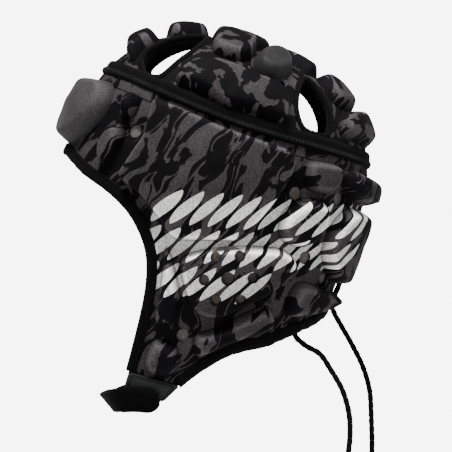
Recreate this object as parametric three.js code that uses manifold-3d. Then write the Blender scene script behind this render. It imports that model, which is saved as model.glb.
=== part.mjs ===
// Rugby scrum cap: foam pads on cloth, an open crown of four arms, ear flaps, chin strap and rear lacing.
// Millimetres and degrees. In the cap's own frame the crown seam lies near the plane z = 0, the face
// looks to -Y and the wearer's left is +X. Girth angles run from the middle of the face (0) over the
// ear (90) to the middle of the nape (180). The cap is then tilted back as it is worn, and moved so
// that the origin is where the top of the head carries it.
import * as THREE from 'three';
import { mergeVertices } from 'three/addons/utils/BufferGeometryUtils.js';
import Module from 'manifold-3d';

const wasm = await Module();
wasm.setup();

// Head form, measured on the outer face of the cloth
const HALF_WIDTH = 79;
const HALF_LENGTH = 104;
const CROWN_RISE = 97; // from the widest level up to the apex
const WIDEST_DROP = 50; // from the seam down to the widest level
const FLAP_DROP = 202; // from the seam down to the end of the ear flap
const SEAM_SAG = 8; // how far the seam dips over the ears
const PLAN_POWER = 2.3;
const RISE_POWER = 2.5;
const JAW_NARROWING = 0.22; // share of the width lost at the end of the flap
const JAW_POWER = 1.6;
const CAP_TILT = 19.8;

// Cloth, foam and trim
const CLOTH_THICK = 2.5;
const SEAT_GAP = 0.9; // between the cloth and a piece that lies over it
const TOUCH_GAP = 0.3;
const PAD_THICK = 9;
const BROW_THICK = 14;
const PAD_ROUND = 7; // corner radius of a pad's outline
const PAD_DOME = 1.5; // how much higher a pad is in its middle
// Half a pad's section, as shares of its thickness: how far in and how high each turn of its edge lies
const PAD_EDGE = [
  { inset: 0, height: 0.6 },
  { inset: 0.2, height: 0.9 },
  { inset: 0.5, height: 1 },
];
const LEAST_SPOKE = 0.2; // share of a spoke that the inset of an edge leaves
const TAPE_WIDTH = 9;
const TAPE_THICK = 1.2;
const BINDING_WIDTH = 7;
const BINDING_THICK = 1.2;
const FOLD_GAP = 0.9; // inside the fold, where the cloth is faceted the other way
const EDGE_INSET = 1.8; // cloth edge to the outside of its binding
const LACE_GAP = 8; // between the two halves of the nape
const LACE_GAP_TOP = 0.15; // share of the flap's drop at which that gap starts
const LACE_DIAMETER = 4;
const VENT_RADIUS = 4.3;
const EAR_VENT_RADIUS = 3.5;
const EAR_RING_RADIUS = 16;
const EAR_RING_COUNT = 6;
const EAR_RING_TURN = 21;
const PATCH_THICK = 1.8;
const PATCH_TOP = 0.915; // share of the flap's drop at which the patch starts
const PATCH_ROUND = 3;
const STRAP_WIDTH = 20;
const STRAP_THICK = 5;
const STRAP_GAP = 0.35; // to the middle of the patch under it
const STRAP_FORWARD = 8; // its middle, in front of the ears' plane
const STRAP_DROP = 18; // its middle, below the end of the flaps
const STRAP_LEAN_ENDS = 111; // how the strap's width leans, on the flaps and under the chin
const STRAP_LEAN_MIDDLE = 179;
const STRAP_FLARE = 0.18;
const STRAP_TIP = 0.6; // share of the width at the strap's two ends
const STRAP_BEND = 0.7; // share of the way down to the chin at which the strap has turned under
const STRAP_BEND_FORWARD = 9.6;
const STRAP_SECTION = [
  [-1, -0.5], [-0.8, -1], [0.8, -1], [1, -0.5],
  [1, 0.5], [0.8, 1], [-0.8, 1], [-1, 0.5],
];
const STRAP_STEPS = 22;
const LACING_TOP = 0.19;
const LACING_BOTTOM = 0.5;
const LACING_REACH = 6.5;
const LACING_CROSSINGS = 5;

// Mesh steps
const EDGE_STEP = 23;
const CROWN_COLUMNS = 28;
const CROWN_RINGS = 5;
const PAD_STEP = 15;
const PAD_POINT_STEP = 12;
const VENT_SIDES = 6;
const OPENING_POINTS = 14;
const PATCH_POINTS = 14;
const LACE_STEPS = 17;
const CROSSING_STEPS = 4;
const WALL_ROWS = [0, 0.12, 0.3, 0.54, 0.78, 1];
const PATCH_RINGS = [0.35, 0.7, 1];
const CROSSING_SAMPLES = 400;
const CUT_SPAN = 3; // reach of a cutting block each way, in thicknesses of what it cuts

const CAMO = { color: '#3d393b', roughness: 0.85 };
const BLACK = { color: '#0b0b0d', roughness: 0.9 };
const VINYL = { color: '#2a2d2e', roughness: 0.55 };

// The lower edge, from the middle of the face to the middle of the nape: where the column of cloth
// starts at the seam, where it ends at the edge, and the edge's depth as a share of FLAP_DROP
const EDGE = [
  { top: 0, foot: 0, drop: 0.325 },
  { top: 18, foot: 18, drop: 0.335 },
  { top: 34, foot: 34, drop: 0.372 },
  { top: 46, foot: 46, drop: 0.395 },
  { top: 55, foot: 57, drop: 0.43 },
  { top: 61, foot: 65, drop: 0.475 },
  { top: 66, foot: 71, drop: 0.525 },
  { top: 70, foot: 75, drop: 0.58 },
  { top: 74, foot: 78, drop: 0.655 },
  { top: 78, foot: 80, drop: 0.75 },
  { top: 82, foot: 81.5, drop: 0.86 },
  { top: 86, foot: 83, drop: 0.97 },
  { top: 90, foot: 86, drop: 1 },
  { top: 96, foot: 101, drop: 0.985 },
  { top: 101, foot: 106, drop: 0.95 },
  { top: 106, foot: 110, drop: 0.9 },
  { top: 114, foot: 117, drop: 0.825 },
  { top: 124, foot: 126, drop: 0.755 },
  { top: 136, foot: 138, drop: 0.7 },
  { top: 150, foot: 151, drop: 0.625 },
  { top: 166, foot: 166, drop: 0.565 },
  { top: 177, foot: 177, drop: 0.54 },
];

// Side pads, one on each side: corners as [girth, depth as a share of FLAP_DROP]
const WALL_PADS = [
  { name: 'upper_temple_pad', corners: [[39, 0.095], [43, 0.06], [47, 0.095], [47, 0.145], [42, 0.155]] },
  { name: 'lower_temple_pad', corners: [[37, 0.24], [39, 0.19], [43, 0.175], [46, 0.21], [46.5, 0.25],
    [43, 0.305], [39, 0.315]] },
  { name: 'side_pad', corners: [[52, 0.065], [88, 0.085], [122, 0.08], [123, 0.14], [119, 0.26],
    [112, 0.4], [82, 0.47], [72, 0.415], [60, 0.36], [50, 0.345], [53, 0.25], [55.5, 0.18]] },
  { name: 'ear_pad', corners: [[88, 0.52], [98, 0.47], [113, 0.42], [130, 0.385], [137, 0.405], [136, 0.455],
    [131, 0.53], [115, 0.655], [106, 0.675], [99, 0.64], [93, 0.58]] },
  { name: 'front_ear_pad', corners: [[79.5, 0.49], [86, 0.545], [92, 0.61], [96.5, 0.665], [95.5, 0.72],
    [87, 0.755], [85.5, 0.68], [84, 0.61]] },
  { name: 'flap_pad', corners: [[88.5, 0.8], [95, 0.785], [101, 0.795], [105, 0.84], [102, 0.9], [89, 0.91]] },
  { name: 'jaw_pad', corners: [[106, 0.735], [113, 0.71], [122, 0.64], [132, 0.565], [138, 0.615],
    [136, 0.65], [125, 0.71], [116, 0.775], [110.5, 0.81]] },
  { name: 'rear_upper_pad', corners: [[127, 0.09], [143.5, 0.065], [144, 0.12], [141, 0.165],
    [132, 0.175], [128, 0.14]] },
  { name: 'rear_middle_pad', corners: [[124, 0.29], [127, 0.24], [133, 0.2], [142, 0.195], [144, 0.26],
    [142, 0.33], [136, 0.36], [127, 0.355]] },
  { name: 'rear_slab', corners: [[148, 0.24], [154, 0.18], [174, 0.175], [174, 0.425], [162, 0.43],
    [152, 0.39], [147, 0.34]] },
  { name: 'rear_lower_pad', corners: [[139, 0.555], [141, 0.465], [150, 0.46], [158, 0.475], [174, 0.46],
    [174, 0.5], [163, 0.52], [155, 0.545], [145, 0.585]] },
];

// Pads that cross the middle plane: one half's corners, mirrored at the girth named middle
const MIDDLE_WALL_PADS = [
  { name: 'brow_pad', middle: 0, thick: BROW_THICK, corners: [[30, 0.06], [35, 0.125], [35.5, 0.19],
    [32, 0.245], [26, 0.285]] },
  { name: 'nape_pad', middle: 180, thick: PAD_THICK, corners: [[147, 0.065], [150, 0.13], [171, 0.14],
    [172, 0.05]] },
];

// Crown pads: corners as [girth, tilt from the apex]
const CROWN_PADS = [
  { name: 'crown_side_pad', corners: [[56, 57], [57, 49], [67, 42], [78, 40.5], [98, 41.5], [108, 41.5],
    [113, 46], [115, 57], [84, 56.5]] },
  { name: 'crown_hub_side_pad', corners: [[91, 24], [91, 35], [102, 38], [110, 36], [119, 30],
    [124, 20], [107, 17]] },
];
const MIDDLE_CROWN_PADS = [
  { name: 'front_arm_pad', corners: [[29, 58], [26, 53], [25, 45], [8, 42.5]] },
  { name: 'front_arm_top_pad', corners: [[10, 37], [24, 37], [23, 33], [19, 26], [8, 23]] },
  { name: 'crown_hub_pad', corners: [[25, 19.5], [46, 27], [62, 36], [78, 34], [84, 30], [81, 18], [92, 9],
    [140, 3.5]] },
  { name: 'rear_arm_top_pad', corners: [[142, 7.5], [132, 13], [140, 20], [138, 26], [145, 28],
    [165, 24.5]] },
  { name: 'rear_arm_middle_pad', corners: [[160, 28], [145, 31.5], [144, 38], [147, 44], [165, 43.5]] },
  { name: 'rear_arm_pad', corners: [[160, 47], [148, 48.5], [145, 52], [144, 57], [165, 58]] },
];

// Crown openings between the arms, on each side
const CROWN_OPENINGS = [
  { corners: [[40, 59.5], [30, 54], [28.5, 44], [27.5, 32], [28, 25], [43, 30], [50, 40], [49, 53], [47.5, 58.5]] },
  { corners: [[136, 58.5], [124, 57.5], [120, 50], [121, 42], [125, 35.5], [133, 31], [138, 39], [139.5, 50]] },
];

// Single vents through the cloth, on each side
const WALL_VENTS = [[49.5, 0.185], [101.5, 0.755], [127.5, 0.2], [148, 0.165], [141.5, 0.385], [156, 0.43]];
const CROWN_VENTS = [[87, 38.5], [109, 39.5]];
const EAR_RING = [111, 0.525];

const PATCH_CORNERS = [[83.5, 0.925], [108, 0.912], [103.5, 0.978], [84, 0.992]];
const STRAP_LINE = [[102, 0.978], [92, 0.995], [82, 1.022]];

// Lace tails in the finished frame, each from the nape down to its free end
const LEFT_LACE = [
  [8, 97.9, -171.8], [8.3, 94.4, -171], [10.2, 90.2, -173.2], [14, 87.4, -179], [20, 83, -186],
  [29, 75.5, -193.5], [38, 72.5, -203], [43.5, 79.5, -210], [45.5, 89, -215.5], [46, 96.2, -226],
  [46, 103.2, -238], [46, 107, -249], [46, 108.8, -259], [46, 109, -270], [46, 107.7, -283.5],
];
const RIGHT_LACE = [
  [-7, 100.9, -184.15], [-9, 101, -187.1], [-10.1, 103.2, -192.5], [-10.2, 107.5, -200.2], [-9.6, 113.6, -210.8],
  [-9, 121, -225], [-9, 125.5, -237], [-9, 127.9, -248], [-9, 128.6, -259], [-9, 129, -270],
  [-9, 129.3, -281], [-9, 129.3, -292],
];

const radians = THREE.MathUtils.degToRad;
const WALL_SCALE = radians(1) * (HALF_WIDTH + HALF_LENGTH) / 2; // mm of girth in a degree
const DOME_SCALE = radians(1) * CROWN_RISE;

// The head form and the charts that lay outlines on it

function planRadius(girth) {
  const side = Math.abs(Math.sin(radians(girth))) / HALF_WIDTH;
  const back = Math.abs(Math.cos(radians(girth))) / HALF_LENGTH;
  return (side ** PLAN_POWER + back ** PLAN_POWER) ** (-1 / PLAN_POWER);
}

// Share of the width that is left at a level, below the widest one
function jawShare(level) {
  const fall = Math.max(0, -WIDEST_DROP - level) / (FLAP_DROP - WIDEST_DROP);
  return 1 - JAW_NARROWING * fall ** JAW_POWER;
}

function wallPoint(girth, level) {
  const rise = Math.max(0, level + WIDEST_DROP) / CROWN_RISE;
  const radius = planRadius(girth) * (1 - rise ** RISE_POWER) ** (1 / RISE_POWER);
  const angle = radians(girth);
  return new THREE.Vector3(radius * Math.sin(angle) * jawShare(level), -radius * Math.cos(angle), level);
}

function domePoint(girth, tilt) {
  const out = Math.sin(radians(tilt));
  const up = Math.cos(radians(tilt));
  const closeness = (out / planRadius(girth)) ** RISE_POWER + (up / CROWN_RISE) ** RISE_POWER;
  const reach = closeness ** (-1 / RISE_POWER);
  const angle = radians(girth);
  return new THREE.Vector3(reach * out * Math.sin(angle), -reach * out * Math.cos(angle), reach * up - WIDEST_DROP);
}

// Grows from inside the form to outside it, so its slope gives the form's normal
function formValue(x, y, z) {
  const side = Math.abs(x) / (HALF_WIDTH * jawShare(z));
  const plan = side ** PLAN_POWER + (Math.abs(y) / HALF_LENGTH) ** PLAN_POWER;
  return plan ** (RISE_POWER / PLAN_POWER) + (Math.max(0, z + WIDEST_DROP) / CROWN_RISE) ** RISE_POWER;
}

function formNormal(point) {
  const { x, y, z } = point;
  const nudge = 0.5;
  return new THREE.Vector3(
    formValue(x + nudge, y, z) - formValue(x - nudge, y, z),
    formValue(x, y + nudge, z) - formValue(x, y - nudge, z),
    formValue(x, y, z + nudge) - formValue(x, y, z - nudge),
  ).normalize();
}

function lifted(point, lift) {
  return point.clone().addScaledVector(formNormal(point), lift);
}

function onWall(chart, lift) {
  return lifted(wallPoint(chart.x / WALL_SCALE, chart.y), lift);
}

function onDome(chart, lift) {
  const girth = THREE.MathUtils.radToDeg(Math.atan2(chart.x, -chart.y));
  return lifted(domePoint(girth, chart.length() / DOME_SCALE), lift);
}

function wallChart([girth, drop]) {
  return new THREE.Vector2(girth * WALL_SCALE, -drop * FLAP_DROP);
}

function domeChart([girth, tilt]) {
  const angle = radians(girth);
  return new THREE.Vector2(Math.sin(angle), -Math.cos(angle)).multiplyScalar(tilt * DOME_SCALE);
}

function seamLevel(girth) {
  return -SEAM_SAG * Math.sin(radians(girth)) ** 2;
}

// Closed solids

function toGeometry(vertices, triangles) {
  const geometry = new THREE.BufferGeometry();
  geometry.setAttribute('position', new THREE.Float32BufferAttribute(vertices.flatMap((v) => v.toArray()), 3));
  geometry.setIndex(triangles.flat());
  return geometry;
}

// Turns a solid's triangles to face outwards
function facingOut(vertices, triangles) {
  let volume = 0;
  for (const [a, b, c] of triangles) {
    volume += vertices[a].dot(vertices[b].clone().cross(vertices[c]));
  }
  return volume > 0 ? triangles : triangles.map(([a, b, c]) => [a, c, b]);
}

// Skin over rings of equal count: capped by a point at both ends, or closed from the last to the first
function ringSolid(rings, firstTip, lastTip) {
  const count = rings[0].length;
  const vertices = rings.flat();
  const triangles = [];
  const strips = firstTip ? rings.length - 1 : rings.length;
  for (let row = 0; row < strips; row += 1) {
    const next = (row + 1) % rings.length;
    for (let i = 0; i < count; i += 1) {
      const j = (i + 1) % count;
      triangles.push([row * count + i, row * count + j, next * count + j]);
      triangles.push([row * count + i, next * count + j, next * count + i]);
    }
  }
  if (firstTip) {
    const lastRow = (rings.length - 1) * count;
    vertices.push(firstTip, lastTip);
    for (let i = 0; i < count; i += 1) {
      const j = (i + 1) % count;
      triangles.push([vertices.length - 2, j, i]);
      triangles.push([vertices.length - 1, lastRow + i, lastRow + j]);
    }
  }
  return toGeometry(vertices, facingOut(vertices, triangles));
}

// Outline with rounded corners, as evenly spaced points
function roundedOutline(corners, radius, count) {
  const shape = new THREE.Shape();
  const first = corners.at(-1).clone().lerp(corners[0], 0.5);
  shape.moveTo(first.x, first.y);
  corners.forEach((corner, i) => {
    const before = corners.at(i - 1).clone().sub(corner);
    const after = corners[(i + 1) % corners.length].clone().sub(corner);
    const start = corner.clone().addScaledVector(before, Math.min(radius / before.length(), 0.45));
    const end = corner.clone().addScaledVector(after, Math.min(radius / after.length(), 0.45));
    shape.lineTo(start.x, start.y);
    shape.quadraticCurveTo(corner.x, corner.y, end.x, end.y);
  });
  shape.closePath();
  return shape.getSpacedPoints(count).slice(0, count);
}

function middleOf(outline) {
  const box = new THREE.Box2().setFromPoints(outline);
  return box.getCenter(new THREE.Vector2());
}

// Rings of an outline drawn in towards its middle
function drawnIn(outline, share, inset) {
  const middle = middleOf(outline);
  return outline.map((point) => {
    const spoke = point.clone().sub(middle).multiplyScalar(share);
    const length = Math.max(spoke.length() - inset, LEAST_SPOKE * spoke.length());
    return spoke.setLength(length).add(middle);
  });
}

// Foam pad: flat under face along the form, upright wall, round shoulder and a slightly domed top
function padSolid(outline, place, thick) {
  const middle = middleOf(outline);
  const reach = Math.max(...outline.map((point) => point.distanceTo(middle)));
  const inner = Math.max(2, Math.ceil(reach / PAD_STEP));
  const rings = [];
  const addRing = (share, inset, lift) => {
    rings.push(drawnIn(outline, share, inset).map((point) => place(point, lift)));
  };
  for (let k = 1; k <= inner; k += 1) {
    addRing(k / inner, 0, SEAT_GAP);
  }
  for (const { inset, height } of PAD_EDGE.slice(0, -1)) {
    addRing(1, inset * thick, SEAT_GAP + height * thick);
  }
  const topRings = Math.ceil(inner / 2);
  for (let k = topRings; k >= 1; k -= 1) {
    const share = k / topRings;
    addRing(share, PAD_EDGE.at(-1).inset * thick * share, SEAT_GAP + thick + PAD_DOME * (1 - share ** 2));
  }
  return ringSolid(rings, place(middle, SEAT_GAP), place(middle, SEAT_GAP + thick + PAD_DOME));
}

// Points round a pad, in step with its girth
function padCount(corners, chart) {
  const points = corners.map(chart);
  const around = points.reduce((sum, point, i) => sum + point.distanceTo(points.at(i - 1)), 0);
  return 2 * THREE.MathUtils.clamp(Math.round(around / PAD_POINT_STEP / 2), 5, 11);
}

// Cutting block that follows an outline through the cloth
function cutterSolid(outline, place, low, high) {
  const rings = [low, high].map((lift) => outline.map((point) => place(point, lift)));
  const middle = middleOf(outline);
  return ringSolid(rings, place(middle, low), place(middle, high));
}

function roundVent(centre, radius, place, low, high) {
  const outline = [];
  for (let i = 0; i < VENT_SIDES; i += 1) {
    const angle = (i + 0.5) * 2 * Math.PI / VENT_SIDES;
    outline.push(new THREE.Vector2(Math.cos(angle), Math.sin(angle)).multiplyScalar(radius).add(centre));
  }
  return cutterSolid(outline, place, low, high);
}

function toManifold(geometry) {
  const merged = geometry.clone();
  merged.deleteAttribute('normal');
  merged.deleteAttribute('uv');
  const welded = mergeVertices(merged, 1e-4);
  return new wasm.Manifold(new wasm.Mesh({
    numProp: 3,
    vertProperties: new Float32Array(welded.attributes.position.array),
    triVerts: new Uint32Array(welded.index.array),
  }));
}

function cut(geometry, cutters) {
  let solid = toManifold(geometry);
  for (const cutter of cutters) {
    solid = solid.subtract(toManifold(cutter));
  }
  const mesh = solid.getMesh();
  const result = new THREE.BufferGeometry();
  result.setAttribute('position', new THREE.Float32BufferAttribute(mesh.vertProperties, 3));
  result.setIndex(Array.from(mesh.triVerts));
  return result;
}

function mirrored(geometry) {
  const copy = geometry.clone();
  copy.scale(-1, 1, 1);
  const index = copy.index.array;
  for (let i = 0; i < index.length; i += 3) {
    [index[i + 1], index[i + 2]] = [index[i + 2], index[i + 1]];
  }
  return copy;
}

const cap = new THREE.Group();

function addPiece(group, name, geometry, finish) {
  geometry.computeVertexNormals();
  const material = new THREE.MeshStandardMaterial({ ...finish, metalness: 0 });
  const mesh = new THREE.Mesh(geometry, material);
  mesh.name = name;
  group.add(mesh);
}

function addPair(name, geometry, finish) {
  addPiece(cap, `${name}_left`, geometry, finish);
  addPiece(cap, `${name}_right`, mirrored(geometry), finish);
}

// Shares of the edge's length at which it passes under the top of the patch, and out again
function patchCrossings(edge) {
  const level = -PATCH_TOP * FLAP_DROP;
  const below = [];
  for (let i = 0; i <= CROSSING_SAMPLES; i += 1) {
    if (edge.getPointAt(i / CROSSING_SAMPLES).y < level) {
      below.push(i / CROSSING_SAMPLES);
    }
  }
  return [below[0], below.at(-1)];
}

// Columns of the lower cloth, evenly spaced along its edge: one half, then the mirror image. A binding
// or the patch holds each of them

function edgeColumns() {
  const points = EDGE.map(({ top, foot, drop }) => (
    new THREE.Vector3(foot * WALL_SCALE, -drop * FLAP_DROP, top * WALL_SCALE)));
  const edge = new THREE.CatmullRomCurve3(points);
  const patchEnds = patchCrossings(edge);
  const stretches = [0, ...patchEnds, 1];
  const shares = [0];
  for (let k = 1; k < stretches.length; k += 1) {
    const length = stretches[k] - stretches[k - 1];
    const steps = Math.round(length * edge.getLength() / EDGE_STEP);
    for (let i = 1; i <= steps; i += 1) {
      shares.push(stretches[k - 1] + length * i / steps);
    }
  }
  const half = shares.map((share) => {
    const sample = edge.getPointAt(share);
    const slope = edge.getTangentAt(share);
    const run = new THREE.Vector2(slope.x, slope.y).normalize();
    return {
      foot: new THREE.Vector2(sample.x, sample.y),
      inward: new THREE.Vector2(-run.y, run.x),
      top: sample.z,
      bound: share <= patchEnds[0] ? 'face' : (share >= patchEnds[1] ? 'nape' : 'patch'),
    };
  });
  const other = half.slice(1).reverse().map(({ foot, inward, top, bound }) => ({
    foot: new THREE.Vector2(-foot.x, foot.y),
    inward: new THREE.Vector2(-inward.x, inward.y),
    top: -top,
    bound,
  }));
  return [...half, ...other];
}

const columns = edgeColumns();

// Point of a column: 0 at the seam, 1 at the cloth's lower edge
function columnPoint({ foot, inward, top }, share) {
  const low = foot.clone().addScaledVector(inward, EDGE_INSET);
  const high = new THREE.Vector2(top, seamLevel(top / WALL_SCALE) - TOUCH_GAP);
  return high.lerp(low, share);
}

function lowerCloth() {
  const outer = WALL_ROWS.map((share) => columns.map((column) => onWall(columnPoint(column, share), 0)));
  const inner = WALL_ROWS.map((share) => columns.map((column) => onWall(columnPoint(column, share), -CLOTH_THICK)));
  return ringSolid([...outer, ...inner.reverse()]);
}

function ventCutters(depth) {
  const cutters = [];
  for (const side of [1, -1]) {
    const place = (chart, lift) => onWall(new THREE.Vector2(side * chart.x, chart.y), lift);
    for (const vent of WALL_VENTS) {
      cutters.push(roundVent(wallChart(vent), VENT_RADIUS, place, -depth, depth));
    }
    cutters.push(...earVents(place, depth));
  }
  return cutters;
}

function earVents(place, depth) {
  const middle = wallChart(EAR_RING);
  const vents = [roundVent(middle, VENT_RADIUS, place, -depth, depth)];
  for (let i = 0; i < EAR_RING_COUNT; i += 1) {
    const angle = radians(EAR_RING_TURN + 360 * i / EAR_RING_COUNT);
    const spoke = new THREE.Vector2(Math.cos(angle), Math.sin(angle)).multiplyScalar(EAR_RING_RADIUS);
    vents.push(roundVent(spoke.add(middle), EAR_VENT_RADIUS, place, -depth, depth));
  }
  return vents;
}

// Upright slot that parts the nape for the lacing
function laceSlot() {
  const top = -LACE_GAP_TOP * FLAP_DROP;
  const slot = new THREE.BoxGeometry(LACE_GAP, HALF_LENGTH, FLAP_DROP);
  slot.translate(0, HALF_LENGTH, top - FLAP_DROP / 2);
  return slot;
}

function crownCloth() {
  const rings = { outer: [], inner: [] };
  for (let row = 1; row <= CROWN_RINGS; row += 1) {
    const outerRing = [];
    const innerRing = [];
    for (let i = 0; i < CROWN_COLUMNS; i += 1) {
      const girth = 360 * i / CROWN_COLUMNS;
      const seam = wallPoint(girth, seamLevel(girth) + TOUCH_GAP);
      const seamTilt = THREE.MathUtils.radToDeg(Math.atan2(Math.hypot(seam.x, seam.y), seam.z + WIDEST_DROP));
      const point = domePoint(girth, seamTilt * row / CROWN_RINGS);
      outerRing.push(point);
      innerRing.push(lifted(point, -CLOTH_THICK));
    }
    rings.outer.push(outerRing);
    rings.inner.push(innerRing);
  }
  const apex = domePoint(0, 0);
  return ringSolid([...rings.outer, ...rings.inner.reverse()], apex, lifted(apex, -CLOTH_THICK));
}

function crownCutters() {
  const depth = CUT_SPAN * CLOTH_THICK;
  const cutters = [];
  for (const side of [1, -1]) {
    const place = (chart, lift) => onDome(new THREE.Vector2(side * chart.x, chart.y), lift);
    for (const { corners } of CROWN_OPENINGS) {
      const outline = roundedOutline(corners.map(domeChart), PAD_ROUND, OPENING_POINTS);
      cutters.push(cutterSolid(outline, place, -depth, depth));
    }
    for (const vent of CROWN_VENTS) {
      cutters.push(roundVent(domeChart(vent), VENT_RADIUS, place, -depth, depth));
    }
  }
  return cutters;
}

// Band over the seam
function seamTape() {
  const section = [[-0.5, 0], [-0.5, 1], [0.5, 1], [0.5, 0]];
  const rings = section.map(([across, out]) => columns.map(({ top }) => {
    const level = seamLevel(top / WALL_SCALE) + across * TAPE_WIDTH;
    return onWall(new THREE.Vector2(top, level), SEAT_GAP + out * TAPE_THICK);
  }));
  return ringSolid(rings);
}

// Folded band round the cloth's edge, over a stretch of its columns
function edgeBinding(first, last) {
  const outer = TOUCH_GAP + BINDING_THICK;
  const inner = -CLOTH_THICK - FOLD_GAP - BINDING_THICK;
  const fold = EDGE_INSET - TOUCH_GAP;
  const section = [[BINDING_WIDTH, TOUCH_GAP], [BINDING_WIDTH, outer], [0, outer], [0, inner],
    [BINDING_WIDTH, inner], [BINDING_WIDTH, inner + BINDING_THICK], [fold, inner + BINDING_THICK], [fold, TOUCH_GAP]];
  const vertices = [];
  const triangles = [];
  const count = section.length;
  for (let i = first; i <= last; i += 1) {
    const { foot, inward } = columns[(i + columns.length) % columns.length];
    for (const [inset, lift] of section) {
      vertices.push(onWall(foot.clone().addScaledVector(inward, inset), lift));
    }
    for (let k = 0; i > first && k < count; k += 1) {
      const a = (i - first) * count;
      const next = (k + 1) % count;
      triangles.push([a - count + k, a - count + next, a + next], [a - count + k, a + next, a + k]);
    }
  }
  const caps = THREE.ShapeUtils.triangulateShape(section.map(([x, y]) => new THREE.Vector2(x, y)), []);
  const end = (last - first) * count;
  for (const [a, b, c] of caps) {
    triangles.push([a, c, b], [end + a, end + b, end + c]);
  }
  return toGeometry(vertices, facingOut(vertices, triangles));
}

// Plate over the end of a flap, which takes the strap
function strapPatch() {
  const outline = roundedOutline(PATCH_CORNERS.map(wallChart), PATCH_ROUND, PATCH_POINTS);
  const ring = (share, lift) => drawnIn(outline, share, 0).map((point) => onWall(point, lift));
  const rings = PATCH_RINGS.map((share) => ring(share, SEAT_GAP));
  const top = PATCH_RINGS.map((share) => ring(share, SEAT_GAP + PATCH_THICK)).reverse();
  const middle = middleOf(outline);
  return ringSolid([...rings, ...top], onWall(middle, SEAT_GAP), onWall(middle, SEAT_GAP + PATCH_THICK));
}

// Padded strap from the outside of one flap, under the chin, to the other
function chinStrap() {
  const lift = SEAT_GAP + PATCH_THICK + STRAP_GAP + STRAP_THICK / 2;
  const half = STRAP_LINE.map(([girth, drop]) => onWall(wallChart([girth, drop]), lift));
  const bend = half.at(-1);
  const low = -FLAP_DROP - STRAP_DROP;
  const turned = THREE.MathUtils.lerp(bend.z, low, STRAP_BEND);
  half.push(new THREE.Vector3(bend.x * STRAP_BEND, -STRAP_BEND_FORWARD, turned));
  const middle = new THREE.Vector3(0, -STRAP_FORWARD, low);
  const other = half.map((point) => new THREE.Vector3(-point.x, point.y, point.z)).reverse();
  const line = new THREE.CatmullRomCurve3([...half, middle, ...other]);
  const rings = [];
  for (let i = 0; i <= STRAP_STEPS; i += 1) {
    const share = i / STRAP_STEPS;
    const centre = line.getPointAt(share);
    const along = line.getTangentAt(share);
    const turn = Math.sin(Math.PI * share) ** 2;
    const lean = radians(THREE.MathUtils.lerp(STRAP_LEAN_ENDS, STRAP_LEAN_MIDDLE, turn));
    const flare = STRAP_FLARE * (1 - turn) * Math.sign(0.5 - share);
    const across = new THREE.Vector3(flare, Math.cos(lean), Math.sin(lean));
    across.addScaledVector(along, -across.dot(along)).normalize();
    const out = along.clone().cross(across);
    const nearTip = Math.min(share, 1 - share) * STRAP_STEPS;
    const width = STRAP_WIDTH * Math.min(1, THREE.MathUtils.lerp(STRAP_TIP, 1, nearTip)) / 2;
    const depth = STRAP_THICK / 2;
    rings.push(STRAP_SECTION.map(([w, d]) => (
      centre.clone().addScaledVector(across, w * width).addScaledVector(out, d * depth))));
  }
  return ringSolid(rings, line.getPointAt(0), line.getPointAt(1));
}

// Round lace along a line of points
function laceTube(points, steps) {
  const section = new THREE.Shape();
  section.absarc(0, 0, LACE_DIAMETER / 2, 0, 2 * Math.PI);
  const path = new THREE.CatmullRomCurve3(points);
  const tube = new THREE.ExtrudeGeometry(section, { steps, curveSegments: 4, extrudePath: path, bevelEnabled: false });
  tube.deleteAttribute('normal');
  tube.deleteAttribute('uv');
  return mergeVertices(tube, 1e-3);
}

// Lace that zigzags down between the two halves of the nape
function rearLacing() {
  const points = [];
  for (let i = 0; i <= LACING_CROSSINGS; i += 1) {
    const drop = THREE.MathUtils.lerp(LACING_TOP, LACING_BOTTOM, i / LACING_CROSSINGS);
    const side = i % 2 === 0 ? 1 : -1;
    const point = onWall(wallChart([180, drop]), TOUCH_GAP + LACE_DIAMETER / 2);
    points.push(point.setX(side * LACING_REACH));
  }
  return laceTube(points, LACING_CROSSINGS * CROSSING_STEPS);
}

// Assembly in the cap's own frame

addPiece(cap, 'lower_cloth', cut(lowerCloth(), [...ventCutters(CUT_SPAN * CLOTH_THICK), laceSlot()]), CAMO);
addPiece(cap, 'crown_cloth', cut(crownCloth(), crownCutters()), CAMO);
addPiece(cap, 'seam_tape', seamTape(), BLACK);

const halfCount = (columns.length - 1) / 2;
const faceEnd = columns.findIndex(({ bound }) => bound !== 'face') - 1;
const napeStart = columns.findIndex(({ bound }) => bound === 'nape');
addPiece(cap, 'face_binding', edgeBinding(-faceEnd, faceEnd), BLACK);
addPair('nape_binding', edgeBinding(napeStart, halfCount), BLACK);

for (const { name, corners } of WALL_PADS) {
  const outline = roundedOutline(corners.map(wallChart), PAD_ROUND, padCount(corners, wallChart));
  const pad = padSolid(outline, onWall, PAD_THICK);
  addPair(name, name === 'ear_pad' ? cut(pad, earVents(onWall, CUT_SPAN * PAD_THICK)) : pad, CAMO);
}
for (const { name, middle, thick, corners } of MIDDLE_WALL_PADS) {
  const all = [...corners, ...corners.map(([girth, drop]) => [2 * middle - girth, drop]).reverse()];
  const outline = roundedOutline(all.map(wallChart), PAD_ROUND, padCount(all, wallChart));
  addPiece(cap, name, padSolid(outline, onWall, thick), CAMO);
}
for (const { name, corners } of CROWN_PADS) {
  const outline = roundedOutline(corners.map(domeChart), PAD_ROUND, padCount(corners, domeChart));
  addPair(name, padSolid(outline, onDome, PAD_THICK), CAMO);
}
for (const { name, corners } of MIDDLE_CROWN_PADS) {
  const all = [...corners, ...corners.map(([girth, tilt]) => [-girth, tilt]).reverse()];
  const outline = roundedOutline(all.map(domeChart), PAD_ROUND, padCount(all, domeChart));
  addPiece(cap, name, padSolid(outline, onDome, PAD_THICK), CAMO);
}

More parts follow.
